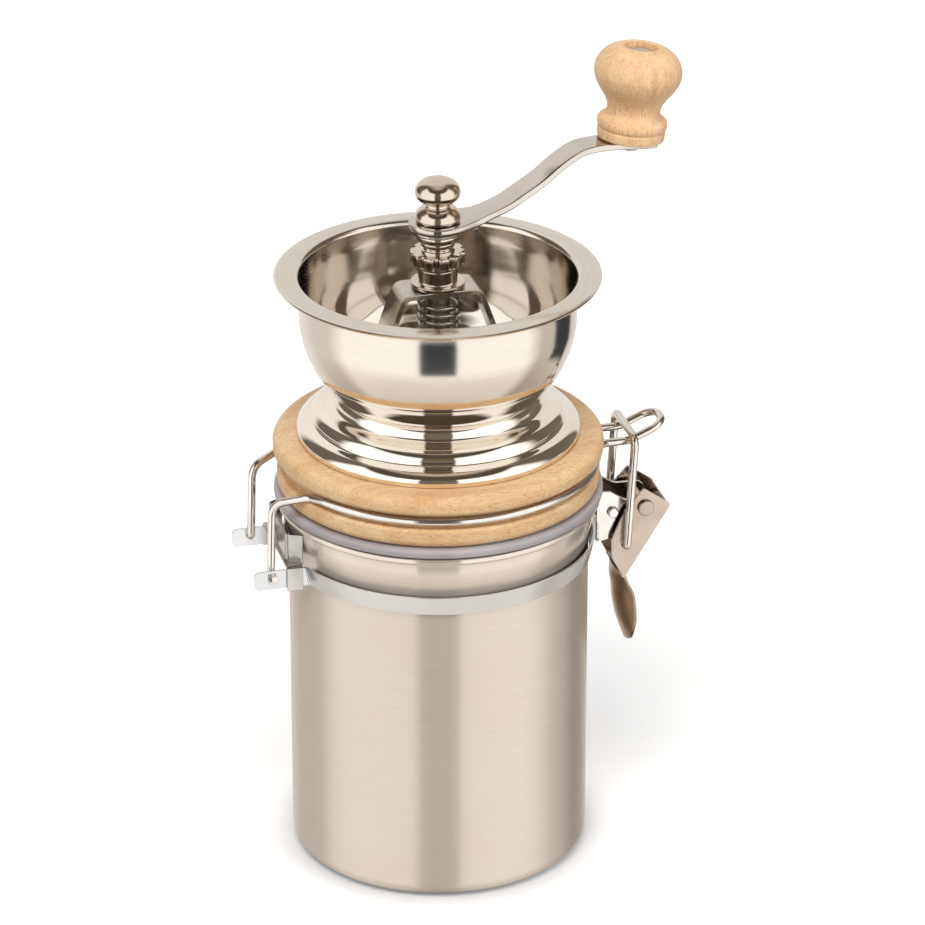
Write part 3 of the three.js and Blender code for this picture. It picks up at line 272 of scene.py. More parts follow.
# materials
def spunSteel(name, **look):  # stainless sheet, spun and brushed: fine turning lines, a soft streaked gloss
    material, tree, shader, place = newMaterial(name)
    flat = vectorMaths(tree, "Vector", "MULTIPLY", place, (1, 1, 0))
    radius = vectorMaths(tree, "Value", "LENGTH", flat)
    outward = vectorMaths(tree, "Vector", "NORMALIZE", flat)
    facing = addNode(tree, "ShaderNodeSeparateXYZ", {0: outward}).outputs
    height = shade(tree, "SeparateXYZ", {0: place}, output="Z")
    lineNumber = maths(tree, "DIVIDE", maths(tree, "MULTIPLY_ADD", height, 2.3, radius), look["lineGap"] * mm)
    turnX, turnY = (maths(tree, "MULTIPLY", facing[axis], look["lineBreaks"]) for axis in ("X", "Y"))
    polar = shade(tree, "CombineXYZ", {0: lineNumber, 1: turnX, 2: turnY})
    lines = noise(tree, polar, 1.0, 4.0, Roughness=0.65)
    cloud = noise(tree, place, 1 / (look["cloud"] * mm), 3.0)
    tone = maths(tree, "MULTIPLY_ADD", lines, 0.6, maths(tree, "MULTIPLY", cloud, 0.4))
    colour = ramp(tree, tone, [(0.32, look["dark"]), (0.68, look["light"])])
    if "crevice" in look:  # painted shade: the colour darkens where another sheet lies close to this one
        colour = blend(
            tree, 1.0, colour, spread(tree, openness(tree, look["crevice"]), 0.25, 0.6, 0.12, 1.0),
            "MULTIPLY")
    rough = spread(tree, tone, 0.3, 0.7, *look["roughness"])
    if "polish" in look:  # one end is buffed brighter, from the first height to the second
        start, end = look["buffed"]
        buffed = spread(tree, height, start * mm, end * mm, kind="SMOOTHSTEP")
        rough = shade(tree, "Mix", {0: buffed, 2: look["polish"], 3: rough}, data_type="FLOAT")
    tangent = shade(tree, "Tangent", direction_type="RADIAL", axis="Z")
    feed(tree, shader, {
        "Base Color": colour, "Roughness": rough, "Normal": reliefOf(tree, lines, look["bump"], 0.03),
        "Metallic": look.get("metal", 1.0), "Anisotropic": look["streak"], "Anisotropic Rotation": 0.25,
        "Tangent": tangent})
    return material


def platedSteel(name, **look):  # stamped or drawn steel, plated: a smooth gloss with faint cloudy wear
    material, tree, shader, place = newMaterial(name)
    stretched = shade(tree, "Mapping", {"Vector": place, "Scale": look["stretch"]})
    fine = noise(tree, stretched, 1 / (look["grit"] * mm), 4.0)
    cloud = noise(tree, place, 1 / (look["cloud"] * mm), 3.0)
    colour = ramp(tree, cloud, [(0.35, look["dark"]), (0.65, look["light"])])
    if "handledBelow" in look:  # the colour turns darker below the given height
        height = shade(tree, "SeparateXYZ", {0: place}, output="Z")
        edge = look["handledBelow"]
        belowShare = spread(tree, height, (edge + 2) * mm, (edge - 2) * mm, kind="SMOOTHSTEP")
        colour = blend(tree, belowShare, colour, look["handled"])
    feed(tree, shader, {
        "Base Color": colour, "Roughness": spread(tree, fine, 0.3, 0.7, *look["roughness"]),
        "Normal": reliefOf(tree, fine, look["bump"], 0.03), "Metallic": look.get("metal", 1.0)})
    return material


def turnedBeech(name, **look):  # steamed beech, turned and oiled: tan bands, short pores along the grain
    material, tree, shader, place = newMaterial(name)
    grain = shade(tree, "Mapping", {
        "Vector": place, "Location": look["heart"], "Rotation": look["grain"]}, vector_type="TEXTURE")

    def figure(along, across, detail, **more):  # spots drawn out along the grain
        scale = (1 / (along * mm), 1 / (across * mm), 1 / (across * mm))
        return noise(tree, shade(tree, "Mapping", {"Vector": grain, "Scale": scale}), 1.0, detail, **more)

    broad, fibre = figure(90, 9, 3.0, Distortion=0.6), figure(14, 0.8, 5.0, Roughness=0.7)
    pores, rays = figure(look["poreLength"], look["poreWidth"], 1.0), figure(2.6, 1.1, 2.0)
    tone = maths(tree, "MULTIPLY_ADD", fibre, 0.45, maths(tree, "MULTIPLY", broad, 0.55))
    body = ramp(tree, tone, [(0.36, look["dark"]), (0.5, look["middle"]), (0.64, look["light"])])
    rayMask = ramp(tree, rays, [(0.56, black), (0.7, (0.55, 0.55, 0.55, 1))])
    poreMask = ramp(tree, pores, [(0.63, black), (0.72, (0.85, 0.85, 0.85, 1))])
    feed(tree, shader, {
        "Base Color": blend(tree, poreMask, blend(tree, rayMask, body, look["ray"]), look["pore"]),
        "Roughness": spread(tree, tone, 0.3, 0.7, 0.42, 0.56), "IOR": 1.5,
        "Normal": reliefOf(tree, maths(tree, "SUBTRACT", fibre, poreMask), 0.35, 0.06), "Coat Weight": 0.12,
        "Coat Roughness": 0.3})
    return material


def mouldedSilicone(name, **look):  # translucent silicone rubber: a soft sheen, light sinks in a little
    material, tree, shader, place = newMaterial(name)
    cloud = noise(tree, place, 1 / (look["cloud"] * mm), 4.0)
    feed(tree, shader, {
        "Base Color": ramp(tree, cloud, [(0.35, look["dark"]), (0.65, look["light"])]),
        "Roughness": spread(tree, cloud, 0.0, 1.0, 0.3, 0.46), "IOR": 1.41, "Subsurface Weight": 0.25,
        "Subsurface Scale": 0.002})
    return material


# painted shade darkens the canister's gaps within 3 mm
brushed = spunSteel(
    "brushedStainless", lineGap=0.7, lineBreaks=5.0, cloud=30, dark="#E4D9D0", light="#F1E8E0",
    roughness=(0.34, 0.4), bump=0.05, streak=1.0, metal=0.55, buffed=(109, 104), polish=0.17, crevice=3)
satinBowl = spunSteel(
    "satinStainless", lineGap=0.5, lineBreaks=3.0, cloud=30, dark="#DAD3CB", light="#E8E2DA",
    roughness=(0.10, 0.17), bump=0.06, streak=0.4, buffed=(182.5, 188.5), polish=0.045)
mirrorDome = spunSteel(
    "mirrorStainless", lineGap=0.6, lineBreaks=2.0, cloud=40, dark="#F0EAE1", light="#FBF7EF",
    roughness=(0.025, 0.05), bump=0.02, streak=0.2)
turnedNickel = spunSteel(
    "turnedNickel", lineGap=0.4, lineBreaks=2.0, cloud=12, dark="#D4CABF", light="#E4DBD0",
    roughness=(0.05, 0.1), bump=0.04, streak=0.3)
darkNickel = spunSteel(
    "agedNickel", lineGap=0.4, lineBreaks=2.0, cloud=12, dark="#D0C4B6", light="#E3D8CB",
    roughness=(0.12, 0.2), bump=0.03, streak=0.3)
machinedIron = spunSteel(
    "sinteredIron", lineGap=0.5, lineBreaks=6.0, cloud=8, dark="#59585A", light="#77767A",
    roughness=(0.38, 0.55), bump=0.5, streak=0.2)
zincBand = platedSteel(
    "zincStrip", stretch=(1, 1, 6), grit=3.0, cloud=22, dark="#DBDDE0", light="#E6E8EB",
    roughness=(0.2, 0.24), bump=0.002, metal=0.8)
hingeZinc = platedSteel(
    "dulledZinc", stretch=(1, 1, 4), grit=3.0, cloud=10, dark="#B2AFAC", light="#C9C6C3",
    roughness=(0.18, 0.22), bump=0.002)
chromeWire = platedSteel(
    "chromedWire", stretch=(1, 1, 1), grit=0.8, cloud=18, dark="#DAD5D0", light="#ECE8E4",
    roughness=(0.09, 0.15), bump=0.01)
nickelLook = {
    "stretch": (1, 1, 5), "grit": 0.7, "cloud": 14, "dark": "#B7A89C", "light": "#CBBDB2",
    "roughness": (0.14, 0.24), "bump": 0.02}
nickelPlate = platedSteel("nickelStamping", **nickelLook)
# the lever's colour turns darker below 91 mm
leverNickel = platedSteel("nickelLever", **nickelLook, handledBelow=91, handled="#9D8978")
polishedArm = platedSteel(
    "polishedBar", stretch=(1, 6, 1), grit=1.0, cloud=20, dark="#CAC4BF", light="#D6D0CB",
    roughness=(0.08, 0.13), bump=0.02)
plainSheet = platedSteel(
    "rolledSheet", stretch=(1, 8, 1), grit=0.6, cloud=12, dark="#C4BEB6", light="#D8D2CA",
    roughness=(0.22, 0.34), bump=0.15)
beechRing = turnedBeech(
    "steamedBeechRing", dark="#E0B182", middle="#EFCA9C", light="#F8DCB6", ray="#DCA876", pore="#B5763F",
    heart=(0.0, 0.11, -0.02), grain=(0.0, 0.12, 0.1), poreLength=3.2, poreWidth=0.3)
beechKnob = turnedBeech(
    "steamedBeechKnob", dark="#EBBA89", middle="#F7D1A4", light="#FCDFB9", ray="#DCA876", pore="#B5763F",
    heart=(0.05, 0.03, 0.24), grain=(0.0, radians(-83), 0.18), poreLength=2.6, poreWidth=0.24)
gasketRubber = mouldedSilicone("mouldedSilicone", cloud=15, dark="#ACA9AF", light="#BBB8BD")
print("materials made")


# shape helpers
def rounded(points, steps=7, closed=False):  # corners round where a point has a radius as its fourth number
    places = [Vector(p[:3]) for p in points]
    out = []
    for i, corner in enumerate(places):
        radius = points[i][3] if len(points[i]) > 3 else 0
        before = places[i - 1] if i or closed else None
        after = places[(i + 1) % len(places)] if i + 1 < len(places) or closed else None
        if not radius or before is None or after is None:
            out.append(corner)
            continue
        back, ahead = before - corner, after - corner
        half = back.angle(ahead) / 2
        run = min(radius / tan(half), back.length / 2, ahead.length / 2)
        start, end = corner + back.normalized() * run, corner + ahead.normalized() * run
        middle = corner + (back.normalized() + ahead.normalized()).normalized() * (run / cos(half))
        spoke, stop = start - middle, end - middle
        turn = spoke.angle(stop)
        axis = spoke.cross(stop).normalized()
        count = max(2, round(steps * turn / (pi / 2)))
        out += [middle + Matrix.Rotation(turn * n / count, 3, axis) @ spoke for n in range(count + 1)]
    return out


def flow(points, steps=5):  # a smooth line through points
    places = [Vector(p) for p in points]
    out = []
    for i in range(len(places) - 1):
        a, b = places[i], places[i + 1]
        before = places[i - 1] if i else a + (a - b)
        after = places[i + 2] if i + 2 < len(places) else b + (b - a)
        for n in range(steps):
            t = n / steps
            out.append(0.5 * (2 * a + (b - before) * t + (2 * before - 5 * a + 4 * b - after) * t * t
                              + (3 * a - before - 3 * b + after) * t ** 3))
    return out + [places[-1]]


def profile(points, steps=7):  # (radius, height, corner) to points in the XZ plane
    return rounded([(p[0], 0, p[1], *p[2:]) for p in points], steps)


def beside(line, distance):  # the same line in the XZ plane, moved to its left
    normals = []
    for a, b in zip(line, line[1:]):
        along = (b - a).normalized()
        normals.append(Vector((-along.z, 0, along.x)))
    out = []
    for i, point in enumerate(line):
        before, after = normals[max(i - 1, 0)], normals[min(i, len(normals) - 1)]
        middle = (before + after).normalized()
        out.append(point + middle * (distance / max(middle.dot(after), 0.3)))
    return out


def newTree(name, *numbers):  # a geometry tree with named inputs, and its input node's sockets
    tree = bpy.data.node_groups.new(name, "GeometryNodeTree")
    tree.interface.new_socket("Geometry", in_out="OUTPUT", socket_type="NodeSocketGeometry")
    tree.interface.new_socket("Geometry", in_out="INPUT", socket_type="NodeSocketGeometry")
    for label, kind, value in numbers:
        tree.interface.new_socket(label, in_out="INPUT", socket_type="NodeSocket" + kind).default_value = value
    tree.interface.new_socket("Finish", in_out="INPUT", socket_type="NodeSocketMaterial")
    return tree, addNode(tree, "NodeGroupInput").outputs


def endTree(tree, given, geometry):  # real faces in the wanted finish
    real = shape(tree, "RealizeInstances", {0: geometry})
    painted = shape(tree, "SetMaterial", {"Geometry": real, "Material": given["Finish"]})
    addNode(tree, "NodeGroupOutput", {0: painted})
    return tree


def sweep(tree, path, diameter, sides):  # a round wire along a path
    half = maths(tree, "MULTIPLY", diameter, 0.5)
    section = shape(tree, "CurvePrimitiveCircle", {"Resolution": sides, "Radius": half})
    skin = {"Curve": path, "Profile Curve": section, "Fill Caps": True}
    return shape(tree, "CurveToMesh", skin)


def latheTree():  # turns a profile, drawn a metre left of the axis, about Z
    tree, given = newTree("turnOnLathe", ("Segments", "Int", 96))
    circle = {"Resolution": given["Segments"], "Radius": 1.0}
    path = shape(tree, "CurvePrimitiveCircle", circle)
    skin = shape(tree, "CurveToMesh", {"Curve": path, "Profile Curve": given["Geometry"]})
    merged = shape(tree, "MergeByDistance", {"Geometry": skin, "Distance": 2e-6})
    return endTree(tree, given, merged)


def wireTree():  # a round wire along the object's own curve
    tree, given = newTree("drawWire", ("Diameter", "Float", 0.003), ("Sides", "Int", 20))
    return endTree(tree, given, sweep(tree, given["Geometry"], given["Diameter"], given["Sides"]))


def coilTree():  # a wound spring standing on a height
    tree, given = newTree(
        "windSpring", ("Curls", "Float", 6.0), ("Radius", "Float", 0.006), ("Foot", "Float", 0.0),
        ("Rise", "Float", 0.02), ("Wire", "Float", 0.001))
    coil = shape(tree, "CurveSpiral", {
        "Resolution": 32, "Rotations": given["Curls"], "Start Radius": given["Radius"],
        "End Radius": given["Radius"], "Height": given["Rise"]})
    lift = shade(tree, "CombineXYZ", {"Z": given["Foot"]})
    skin = {"Geometry": sweep(tree, coil, given["Wire"], 12), "Translation": lift}
    return endTree(tree, given, shape(tree, "Transform", skin))


def ringTree():  # copies the object's own mesh round the axis
    tree, given = newTree("repeatRound", ("Count", "Int", 3), ("First Angle", "Float", 0.0))
    line = {"Count": given["Count"], "Offset": (0, 0, 0)}
    points = shape(tree, "MeshLine", line, mode="OFFSET")
    index = shape(tree, "InputIndex")
    step = maths(tree, "DIVIDE", 2 * pi, given["Count"])
    angle = maths(tree, "MULTIPLY_ADD", index, step, given["First Angle"])
    turn = shade(tree, "CombineXYZ", {"Z": angle})
    copies = {"Points": points, "Instance": given["Geometry"], "Rotation": turn}
    return endTree(tree, given, shape(tree, "InstanceOnPoints", copies))


trees = {"lathe": latheTree(), "wire": wireTree(), "coil": coilTree(), "ring": ringTree()}


def finished(name, mesh, sharpAngle=38):  # a plain mesh as a piece with clean shading
    mesh.shade_smooth()
    mesh.set_sharp_from_angle(angle=radians(sharpAngle))
    mesh.name = name
    return addObject(name, mesh)


def reworked(mesh, sources, clean=False, outwards=True):  # fills a mesh from others
    work = bmesh.new()
    for source in sources:
        work.from_mesh(source)
    if clean:
        bmesh.ops.remove_doubles(work, verts=work.verts, dist=1e-6)
        bmesh.ops.dissolve_degenerate(work, edges=work.edges, dist=1e-7)
    if outwards:
        bmesh.ops.recalc_face_normals(work, faces=work.faces)
    work.to_mesh(mesh)
    work.free()
    return mesh


def settle(source, name, sharpAngle=38):  # what the modifiers make
    mesh = bpy.data.meshes.new_from_object(source.evaluated_get(bpy.context.evaluated_depsgraph_get()))
    bpy.data.objects.remove(source)
    return finished(name, reworked(mesh, [mesh], clean=True), sharpAngle)


def joinPieces(name, *parts):  # several settled pieces as one
    mesh = reworked(bpy.data.meshes.new(name), [part.data for part in parts], outwards=False)
    mesh.materials.append(parts[0].data.materials[0])
    for part in parts:
        bpy.data.objects.remove(part)
    return finished(name, mesh)


def grow(source, treeName, name, material, values=None, sharpAngle=38):  # runs a tree on an object
    modifier = source.modifiers.new(treeName, "NODES")
    modifier.node_group = trees[treeName]
    wanted = {**(values or {}), "Finish": material}
    for item in trees[treeName].interface.items_tree:
        if item.item_type == "SOCKET" and item.in_out == "INPUT" and item.name in wanted:
            modifier[item.identifier] = wanted[item.name]
    return settle(source, name, sharpAngle)


def curveThrough(name, points, closed=False):
    data = bpy.data.curves.new(name, "CURVE")
    data.dimensions = "3D"
    spline = data.splines.new("POLY")
    spline.points.add(len(points) - 1)
    for target, point in zip(spline.points, points):
        target.co = (*point, 1)
    spline.use_cyclic_u = closed
    return addObject(name, data)


def turned(name, line, material, segments=64, sharpAngle=38, placed=None):  # from axis to axis, or closed
    onAxis = abs(line[0].x) < 1e-9 and abs(line[-1].x) < 1e-9
    source = curveThrough(name, [(p.x * mm - 1, -p.z * mm, 0) for p in line], not onAxis)
    piece = grow(source, "lathe", name, material, {"Segments": segments}, sharpAngle)
    if placed:
        piece.data.transform(placed)
    return piece


def drawn(name, points, diameter, material):  # a wire through points in millimetres
    source = curveThrough(name, [p * mm for p in points])
    return grow(source, "wire", name, material, {"Diameter": diameter * mm, "Sides": 20}, 50)


def meshOf(name, shells, material):  # shells are (points in millimetres, faces)
    points, faces = [], []
    for shellPoints, shellFaces in shells:
        faces += [[i + len(points) for i in face] for face in shellFaces]
        points += [Vector(p) * mm for p in shellPoints]
    mesh = bpy.data.meshes.new(name)
    mesh.from_pydata(points, [], faces)
    mesh.materials.append(material)
    return addObject(name, reworked(mesh, [mesh]))


def bevelled(name, shells, material, width, segments=2):  # stamped sheet with softly broken edges
    source = meshOf(name, shells, material)
    modifier = source.modifiers.new("edges", "BEVEL")
    modifier.width = width * mm
    modifier.segments = segments
    modifier.limit_method = "ANGLE"
    modifier.angle_limit = radians(40)
    return settle(source, name, 20)


def prism(outline, low, high, lift):  # an (a, b) outline between two depths; lift puts them in space
    count = len(outline)
    points = [lift(a, b, depth) for depth in (low, high) for a, b in outline]
    sides = [(i, (i + 1) % count, (i + 1) % count + count, i + count) for i in range(count)]
    return points, [list(range(count - 1, -1, -1)), list(range(count, 2 * count)), *sides]


def loft(sections):  # a skin over closed sections with equal counts, capped at both ends
    count = len(sections[0])
    faces = [list(range(count)), [i + count * (len(sections) - 1) for i in range(count - 1, -1, -1)]]
    for row in range(len(sections) - 1):
        for i in range(count):
            j = (i + 1) % count
            faces.append([row * count + i, (row + 1) * count + i, (row + 1) * count + j, row * count + j])
    return [p for section in sections for p in section], faces


def stripAlong(line, wall, halfWidth, edge=0):  # a flat bar on the left of a line in the XZ plane
    sections = []
    for i, (near, far) in enumerate(zip(line, beside(line, wall))):
        half = halfWidth(i)
        corners = [
            (near.x, -half, near.z), (near.x, half, near.z), (far.x, half, far.z), (far.x, -half, far.z)]
        softened = min(edge, half / 2)
        sections.append(
            rounded([(*p, softened) for p in corners], 5, True) if edge else [Vector(p) for p in corners])
    return loft(sections)


def flatOutline(points, steps=7):  # (a, b, corner) to rounded (a, b)
    return [(p.x, p.y) for p in rounded([(p[0], p[1], 0, *p[2:]) for p in points], steps, True)]


def plate(left, foot, right, top, corner, steps=7):
    return flatOutline(
        [(left, foot, corner), (right, foot, corner), (right, top, corner), (left, top, corner)], steps)


def alongX(a, b, depth):  # outlines in Y and Z
    return depth, a, b


def alongY(middle):  # outlines in X and Z
    return lambda a, b, depth: (a, middle + depth, b)


def alongZ(a, b, depth):  # outlines in X and Y
    return a, b, depth


def belongs(piece, body, slot, *stoodFor):
    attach(piece, body)
    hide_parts(*stoodFor)


def washer(radius, foot, top, corner, bore=4.3):  # the outline of a plain round part on the shaft
    return [(bore, foot, 0.2), (radius, foot, corner), (radius, top, corner), (bore, top, 0.2)]


def onAxisPart(name, points, steps, body, node):  # a small turned part on the shaft
    belongs(turned(name, profile(points, steps), turnedNickel), body, "nickel_steel", node)


def fasteners(name, one, nodes, firstAngle=0.0):  # copies of a rivet or screw round the axis
    copies = grow(one, "ring", name, plainSheet, {"Count": len(nodes), "First Angle": firstAngle})
    belongs(copies, "lid", "plain_steel", *nodes)


# canister
canister = {
    "foot": 39, "radius": 50, "corner": 10.0, "wall": 0.8, "middle": 60,
    "neck": [(50, 112), (50.05, 114), (50.5, 116), (51.3, 118.8), (51.85, 121.6), (52.1, 124.9)]}
radius, wall, corner, middle = (canister[key] for key in ("radius", "wall", "corner", "middle"))
outer = flow([(r, 0, z) for r, z in canister["neck"]], 5)
inner = [Vector((p.x - wall, 0, p.z)) for p in reversed(outer)]
lip = profile(
    [(52.1, 124.9), (52.2, 125.5, 0.5), (53.9, 125.9, 0.9), (53.9, 128.1, 1.0), (51.4, 128.1, 0.9),
        (51.3, 125)], 9)
can = profile([(0, 0), (canister["foot"], 0), (radius, 0, corner), (radius, middle)], 16)
can += outer + lip[1:-1] + inner
can += profile([(radius - wall, middle), (radius - wall, wall, corner - wall), (0, wall)], 14)
belongs(turned("canister", can, brushed, 192), "base", "canister_steel", "canister_body")

band = {
    "foot": 106.8, "width": 6.5, "radius": 51.1, "flare": 1.3, "wall": 0.8, "earAt": 17, "earEnd": -66.7,
    "bend": 2.2, "earRound": 1.6, "steps": 160, "earSteps": 6}


def bandPath(height):  # from one ear's end round the neck to the other's, at a share of the band's height
    radius = band["radius"] - band["wall"] / 2 + band["flare"] * height
    start = pi - asin(band["earAt"] / radius)
    angles = [start - 2 * start * n / band["steps"] for n in range(band["steps"] + 1)]
    arc = [(radius * cos(a), radius * sin(a), 0) for a in angles]
    arc[0], arc[-1] = (*arc[0], band["bend"]), (*arc[-1], band["bend"])
    return rounded([(band["earEnd"], band["earAt"], 0), *arc, (band["earEnd"], -band["earAt"], 0)], 10)


def bandShell():
    low, high = bandPath(0), bandPath(1)
    turns = [pi / 2 * k / band["earSteps"] for k in range(1, band["earSteps"] + 1)]
    for line in (low, high):  # close stations at both ends, for the rounded ears
        for n in (-1, 1):
            tip = line[0] if n < 0 else line[-1]
            extra = [Vector((tip.x + band["earRound"] * (1 - cos(turn)), tip.y, 0)) for turn in turns]
            line[:] = [tip, *extra, *line[1:]] if n < 0 else [*line[:-1], *extra[::-1], tip]
    sections = []
    for i, (a, b) in enumerate(zip(low, high)):
        along = (low[min(i + 1, len(low) - 1)] - low[max(i - 1, 0)]).normalized()
        aside = Vector((-along.y, along.x, 0)) * band["wall"] / 2
        left = max(0, band["earRound"] - (a.x - band["earEnd"]))
        cut = band["earRound"] - sqrt(max(band["earRound"] ** 2 - left ** 2, 0))
        rise = Vector((0, 0, band["foot"] + cut))
        top = Vector((0, 0, band["foot"] + band["width"] - cut))
        sections.append([a - aside + rise, a + aside + rise, b + aside + top, b - aside + top])
    return loft(sections)


belongs(bevelled("neckBand", [bandShell()], zincBand, 0.18), "base", "bright_steel", "neck_band")

clip = {
    "inner": -50.6, "outer": -56, "tabFace": 17.7, "wall": 0.8, "webFoot": 113.6, "tabFoot": 105.8,
    "shieldTop": 124.0, "shieldFoot": 15.2, "shieldHead": 13, "shieldBend": 2.2}
webTop = clip["webFoot"] + clip["wall"]
face, side = clip["tabFace"], clip["tabFace"] + clip["wall"]
saddle = flatOutline([
    (-side, clip["tabFoot"], 0.3), (-side, webTop, 1.2), (side, webTop, 1.2), (side, clip["tabFoot"], 0.3),
    (face, clip["tabFoot"], 0.3), (face, clip["webFoot"], 0.5), (-face, clip["webFoot"], 0.5),
    (-face, clip["tabFoot"], 0.3)])
shieldAt = clip["outer"] + clip["wall"]
shieldLine = rounded([
    (clip["inner"], -clip["shieldFoot"], 0), (shieldAt, -clip["shieldHead"], 0, clip["shieldBend"]),
    (shieldAt, clip["shieldHead"], 0, clip["shieldBend"]), (clip["inner"], clip["shieldFoot"], 0)], 8)
shieldIn = [Vector((p.x + clip["wall"], p.y, 0)) for p in shieldLine]
shieldRing = [(p.x, p.y) for p in shieldLine + shieldIn[::-1]]
clipShells = [
    prism(saddle, clip["outer"], clip["inner"], alongX),
    prism(shieldRing, clip["webFoot"], clip["shieldTop"], alongZ)]
belongs(bevelled("hingeClip", clipShells, hingeZinc, 0.15), "base", "nickel_steel", "hinge_clip")

bracket = {
    "back": 52.7, "foot": 105.2, "top": 123.4, "half": 7.6, "wall": 1.0, "bandTop": 113.3, "front": 73.6,
    "brow": 119.7}
back, half, wall = bracket["back"], bracket["half"], bracket["wall"]
cheek = flatOutline([
    (back, bracket["foot"], 1), (64.4, 107.5, 4.6), (bracket["front"], 112.8, 4.6),
    (bracket["front"], bracket["brow"], 4.6), (63.0, bracket["brow"], 4.6), (57.3, bracket["top"], 1.2),
    (back, bracket["top"], 1)])
bracketShells = [prism(cheek, -wall / 2, wall / 2, alongY(hand * (half - wall / 2))) for hand in (-1, 1)]
bracketShells.append(
    prism(plate(-half, bracket["foot"], half, bracket["bandTop"], 0.8), back, back + wall, alongX))
belongs(bevelled("claspBracket", bracketShells, chromeWire, 0.15), "base", "bright_steel", "clasp_bracket")


def pinAcross(name, shank, head, headHeight, between, x, z, material):  # a pin along Y with domed heads
    half = between / 2
    dome = headHeight * 0.95
    line = profile(
        [(0, -half - headHeight), (head, -half - headHeight, dome), (head, -half, 0.12), (shank, -half),
            (shank, half), (head, half, 0.12), (head, half + headHeight, dome), (0, half + headHeight)], 8)
    onSide = Matrix.Translation((x * mm, 0, z * mm)) @ Matrix.Rotation(pi / 2, 4, "X")
    return turned(name, line, material, 48, 38, onSide)


belongs(
    pinAcross("bracketPin", 0.9, 1.9, 1.0, 15.8, 58.3, 115.9, chromeWire), "base", "bright_steel",
    "bracket_pin")
belongs(
    pinAcross("leverRivet", 1.5, 2.75, 0.9, 20.6, 69.0, 117.4, nickelPlate), "base", "nickel_steel",
    "lever_rivet")
print("canister, band and bracket made")


# clasp lever and link
lever = {
    "rivet": (69.0, 117.4), "half": 10, "wall": 0.9, "webHalf": 9.6, "webShort": 0.5, "rows": 44, "cuts": 20,
    "side": [(-0.6, 6.9, 0.9), (8.9, 0.2, 0.9), (-7.1, -25.5), (-11.2, -17.6, 5), (-11.6, -10.6, 5),
        (-7.1, -0.5, 5)], "tabLength": 28.2, "tabLean": 3.9, "tabDish": 4.6,
    "tabWidth": [(0, 0.84), (0.12, 0.82), (0.3, 0.92), (0.55, 0.96), (0.75, 0.88), (0.9, 0.62), (0.97, 0.36),
        (1, 0.12)],
    "tabOut": [(0, 0), (0.13, 0.3), (0.28, 0.78), (0.47, 0.94), (0.62, 1), (0.8, 0.9), (1, 0.95)],
    "tabHollow": [(0, 0.3), (0.13, 0.7), (0.3, 1), (0.5, 1), (0.65, 0.85), (0.8, 0.5), (1, 0.1)]}


def valueAt(table, share):  # smoothly along a table of (share, value)
    line = flow([(a, b, 0) for a, b in table], 8)
    for a, b in zip(line, line[1:]):
        if share <= b.x:
            return a.y + (b.y - a.y) * (share - a.x) / max(b.x - a.x, 1e-9)
    return line[-1].y


def leverShells():  # two cheeks, the web between them and the dished finger tab
    px, pz = lever["rivet"]
    wall, rows, cuts = lever["wall"], lever["rows"], lever["cuts"]
    outline = [(px + a, pz + b) for a, b in flatOutline(lever["side"], 9)]
    cheeks = [
        prism(outline, -wall / 2, wall / 2, alongY(hand * (lever["half"] - wall / 2))) for hand in (-1, 1)]
    (upX, upZ), (rootX, rootZ) = lever["side"][1][:2], lever["side"][2]
    start, top = Vector((px + rootX, 0, pz + rootZ)), Vector((px + upX, 0, pz + upZ))
    along = (top - start).normalized()
    inward = Vector((-along.z, 0, along.x)) * wall
    end = top - along * lever["webShort"]
    web = prism(
        [(p.x, p.z) for p in (start, end, end + inward, start + inward)], -lever["webHalf"], lever["webHalf"],
        alongY(0))
    sections = []
    for i in range(rows + 1):
        share = i / rows
        half = lever["half"] * valueAt(lever["tabWidth"], share)
        x = start.x + lever["tabLean"] * valueAt(lever["tabOut"], share)
        dish = lever["tabDish"] * valueAt(lever["tabHollow"], share)
        z = start.z + wall - lever["tabLength"] * share
        places = [2 * j / cuts - 1 for j in range(cuts + 1)]
        near = [Vector((x - dish * (1 - place ** 2), half * place, z)) for place in places]
        sections.append(near + [p + Vector((wall, 0, 0)) for p in reversed(near)])
    return [*cheeks, web, loft(sections)]


belongs(bevelled("claspLever", leverShells(), leverNickel, 0.2), "lever", "nickel_steel", "clasp_lever")


def mirrored(half):  # one side of a wire and the same on the other side, back to its start
    return half + [(p[0], -p[1], *p[2:]) for p in reversed(half)]


link = {
    "wire": 2.8, "legAt": 11.8, "foot": (62.2, 104.3), "footLength": 2.9, "footBend": 1.6,
    "bar": (64.5, 143.95), "bend": 3.5}
(fx, fz), (tx, tz), legY = link["foot"], link["bar"], link["legAt"]
halfLink = [
    (fx, legY - link["footLength"], fz), (fx, legY, fz, link["footBend"]), (tx, legY, tz, link["bend"])]
belongs(
    drawn("claspLink", rounded(mirrored(halfLink), 14), link["wire"], chromeWire), "link", "wire_steel",
    "clasp_link")

# beech ring, gasket and bail wire
ring = {
    "bore": 24, "spigot": 46, "spigotFoot": 126.3, "foot": 131.6, "grooveFoot": 138.3, "grooveTop": 143.4,
    "top": 149.9, "lower": 53.5, "groove": 51, "upper": 54.8}
ringLine = profile(
    [(ring["bore"], ring["spigotFoot"]), (ring["spigot"], ring["spigotFoot"], 0.6),
        (ring["spigot"], ring["foot"], 0.4), (ring["lower"], ring["foot"], 2.9),
        (ring["lower"], ring["grooveFoot"], 3.2), (ring["groove"], ring["grooveFoot"], 0.3),
        (ring["groove"], ring["grooveTop"], 0.3), (ring["upper"], ring["grooveTop"], 3.0),
        (ring["upper"], ring["top"], 3.3), (ring["bore"], ring["top"], 0.8)], 12)
belongs(turned("beechRing", ringLine, beechRing, 192), "lid", "beech", "lid_ring")
gasketLine = profile([(46.3, 128.4), (54.6, 128.4, 0.9), (54.6, 131.3, 1.1), (46.3, 131.3)], 8)
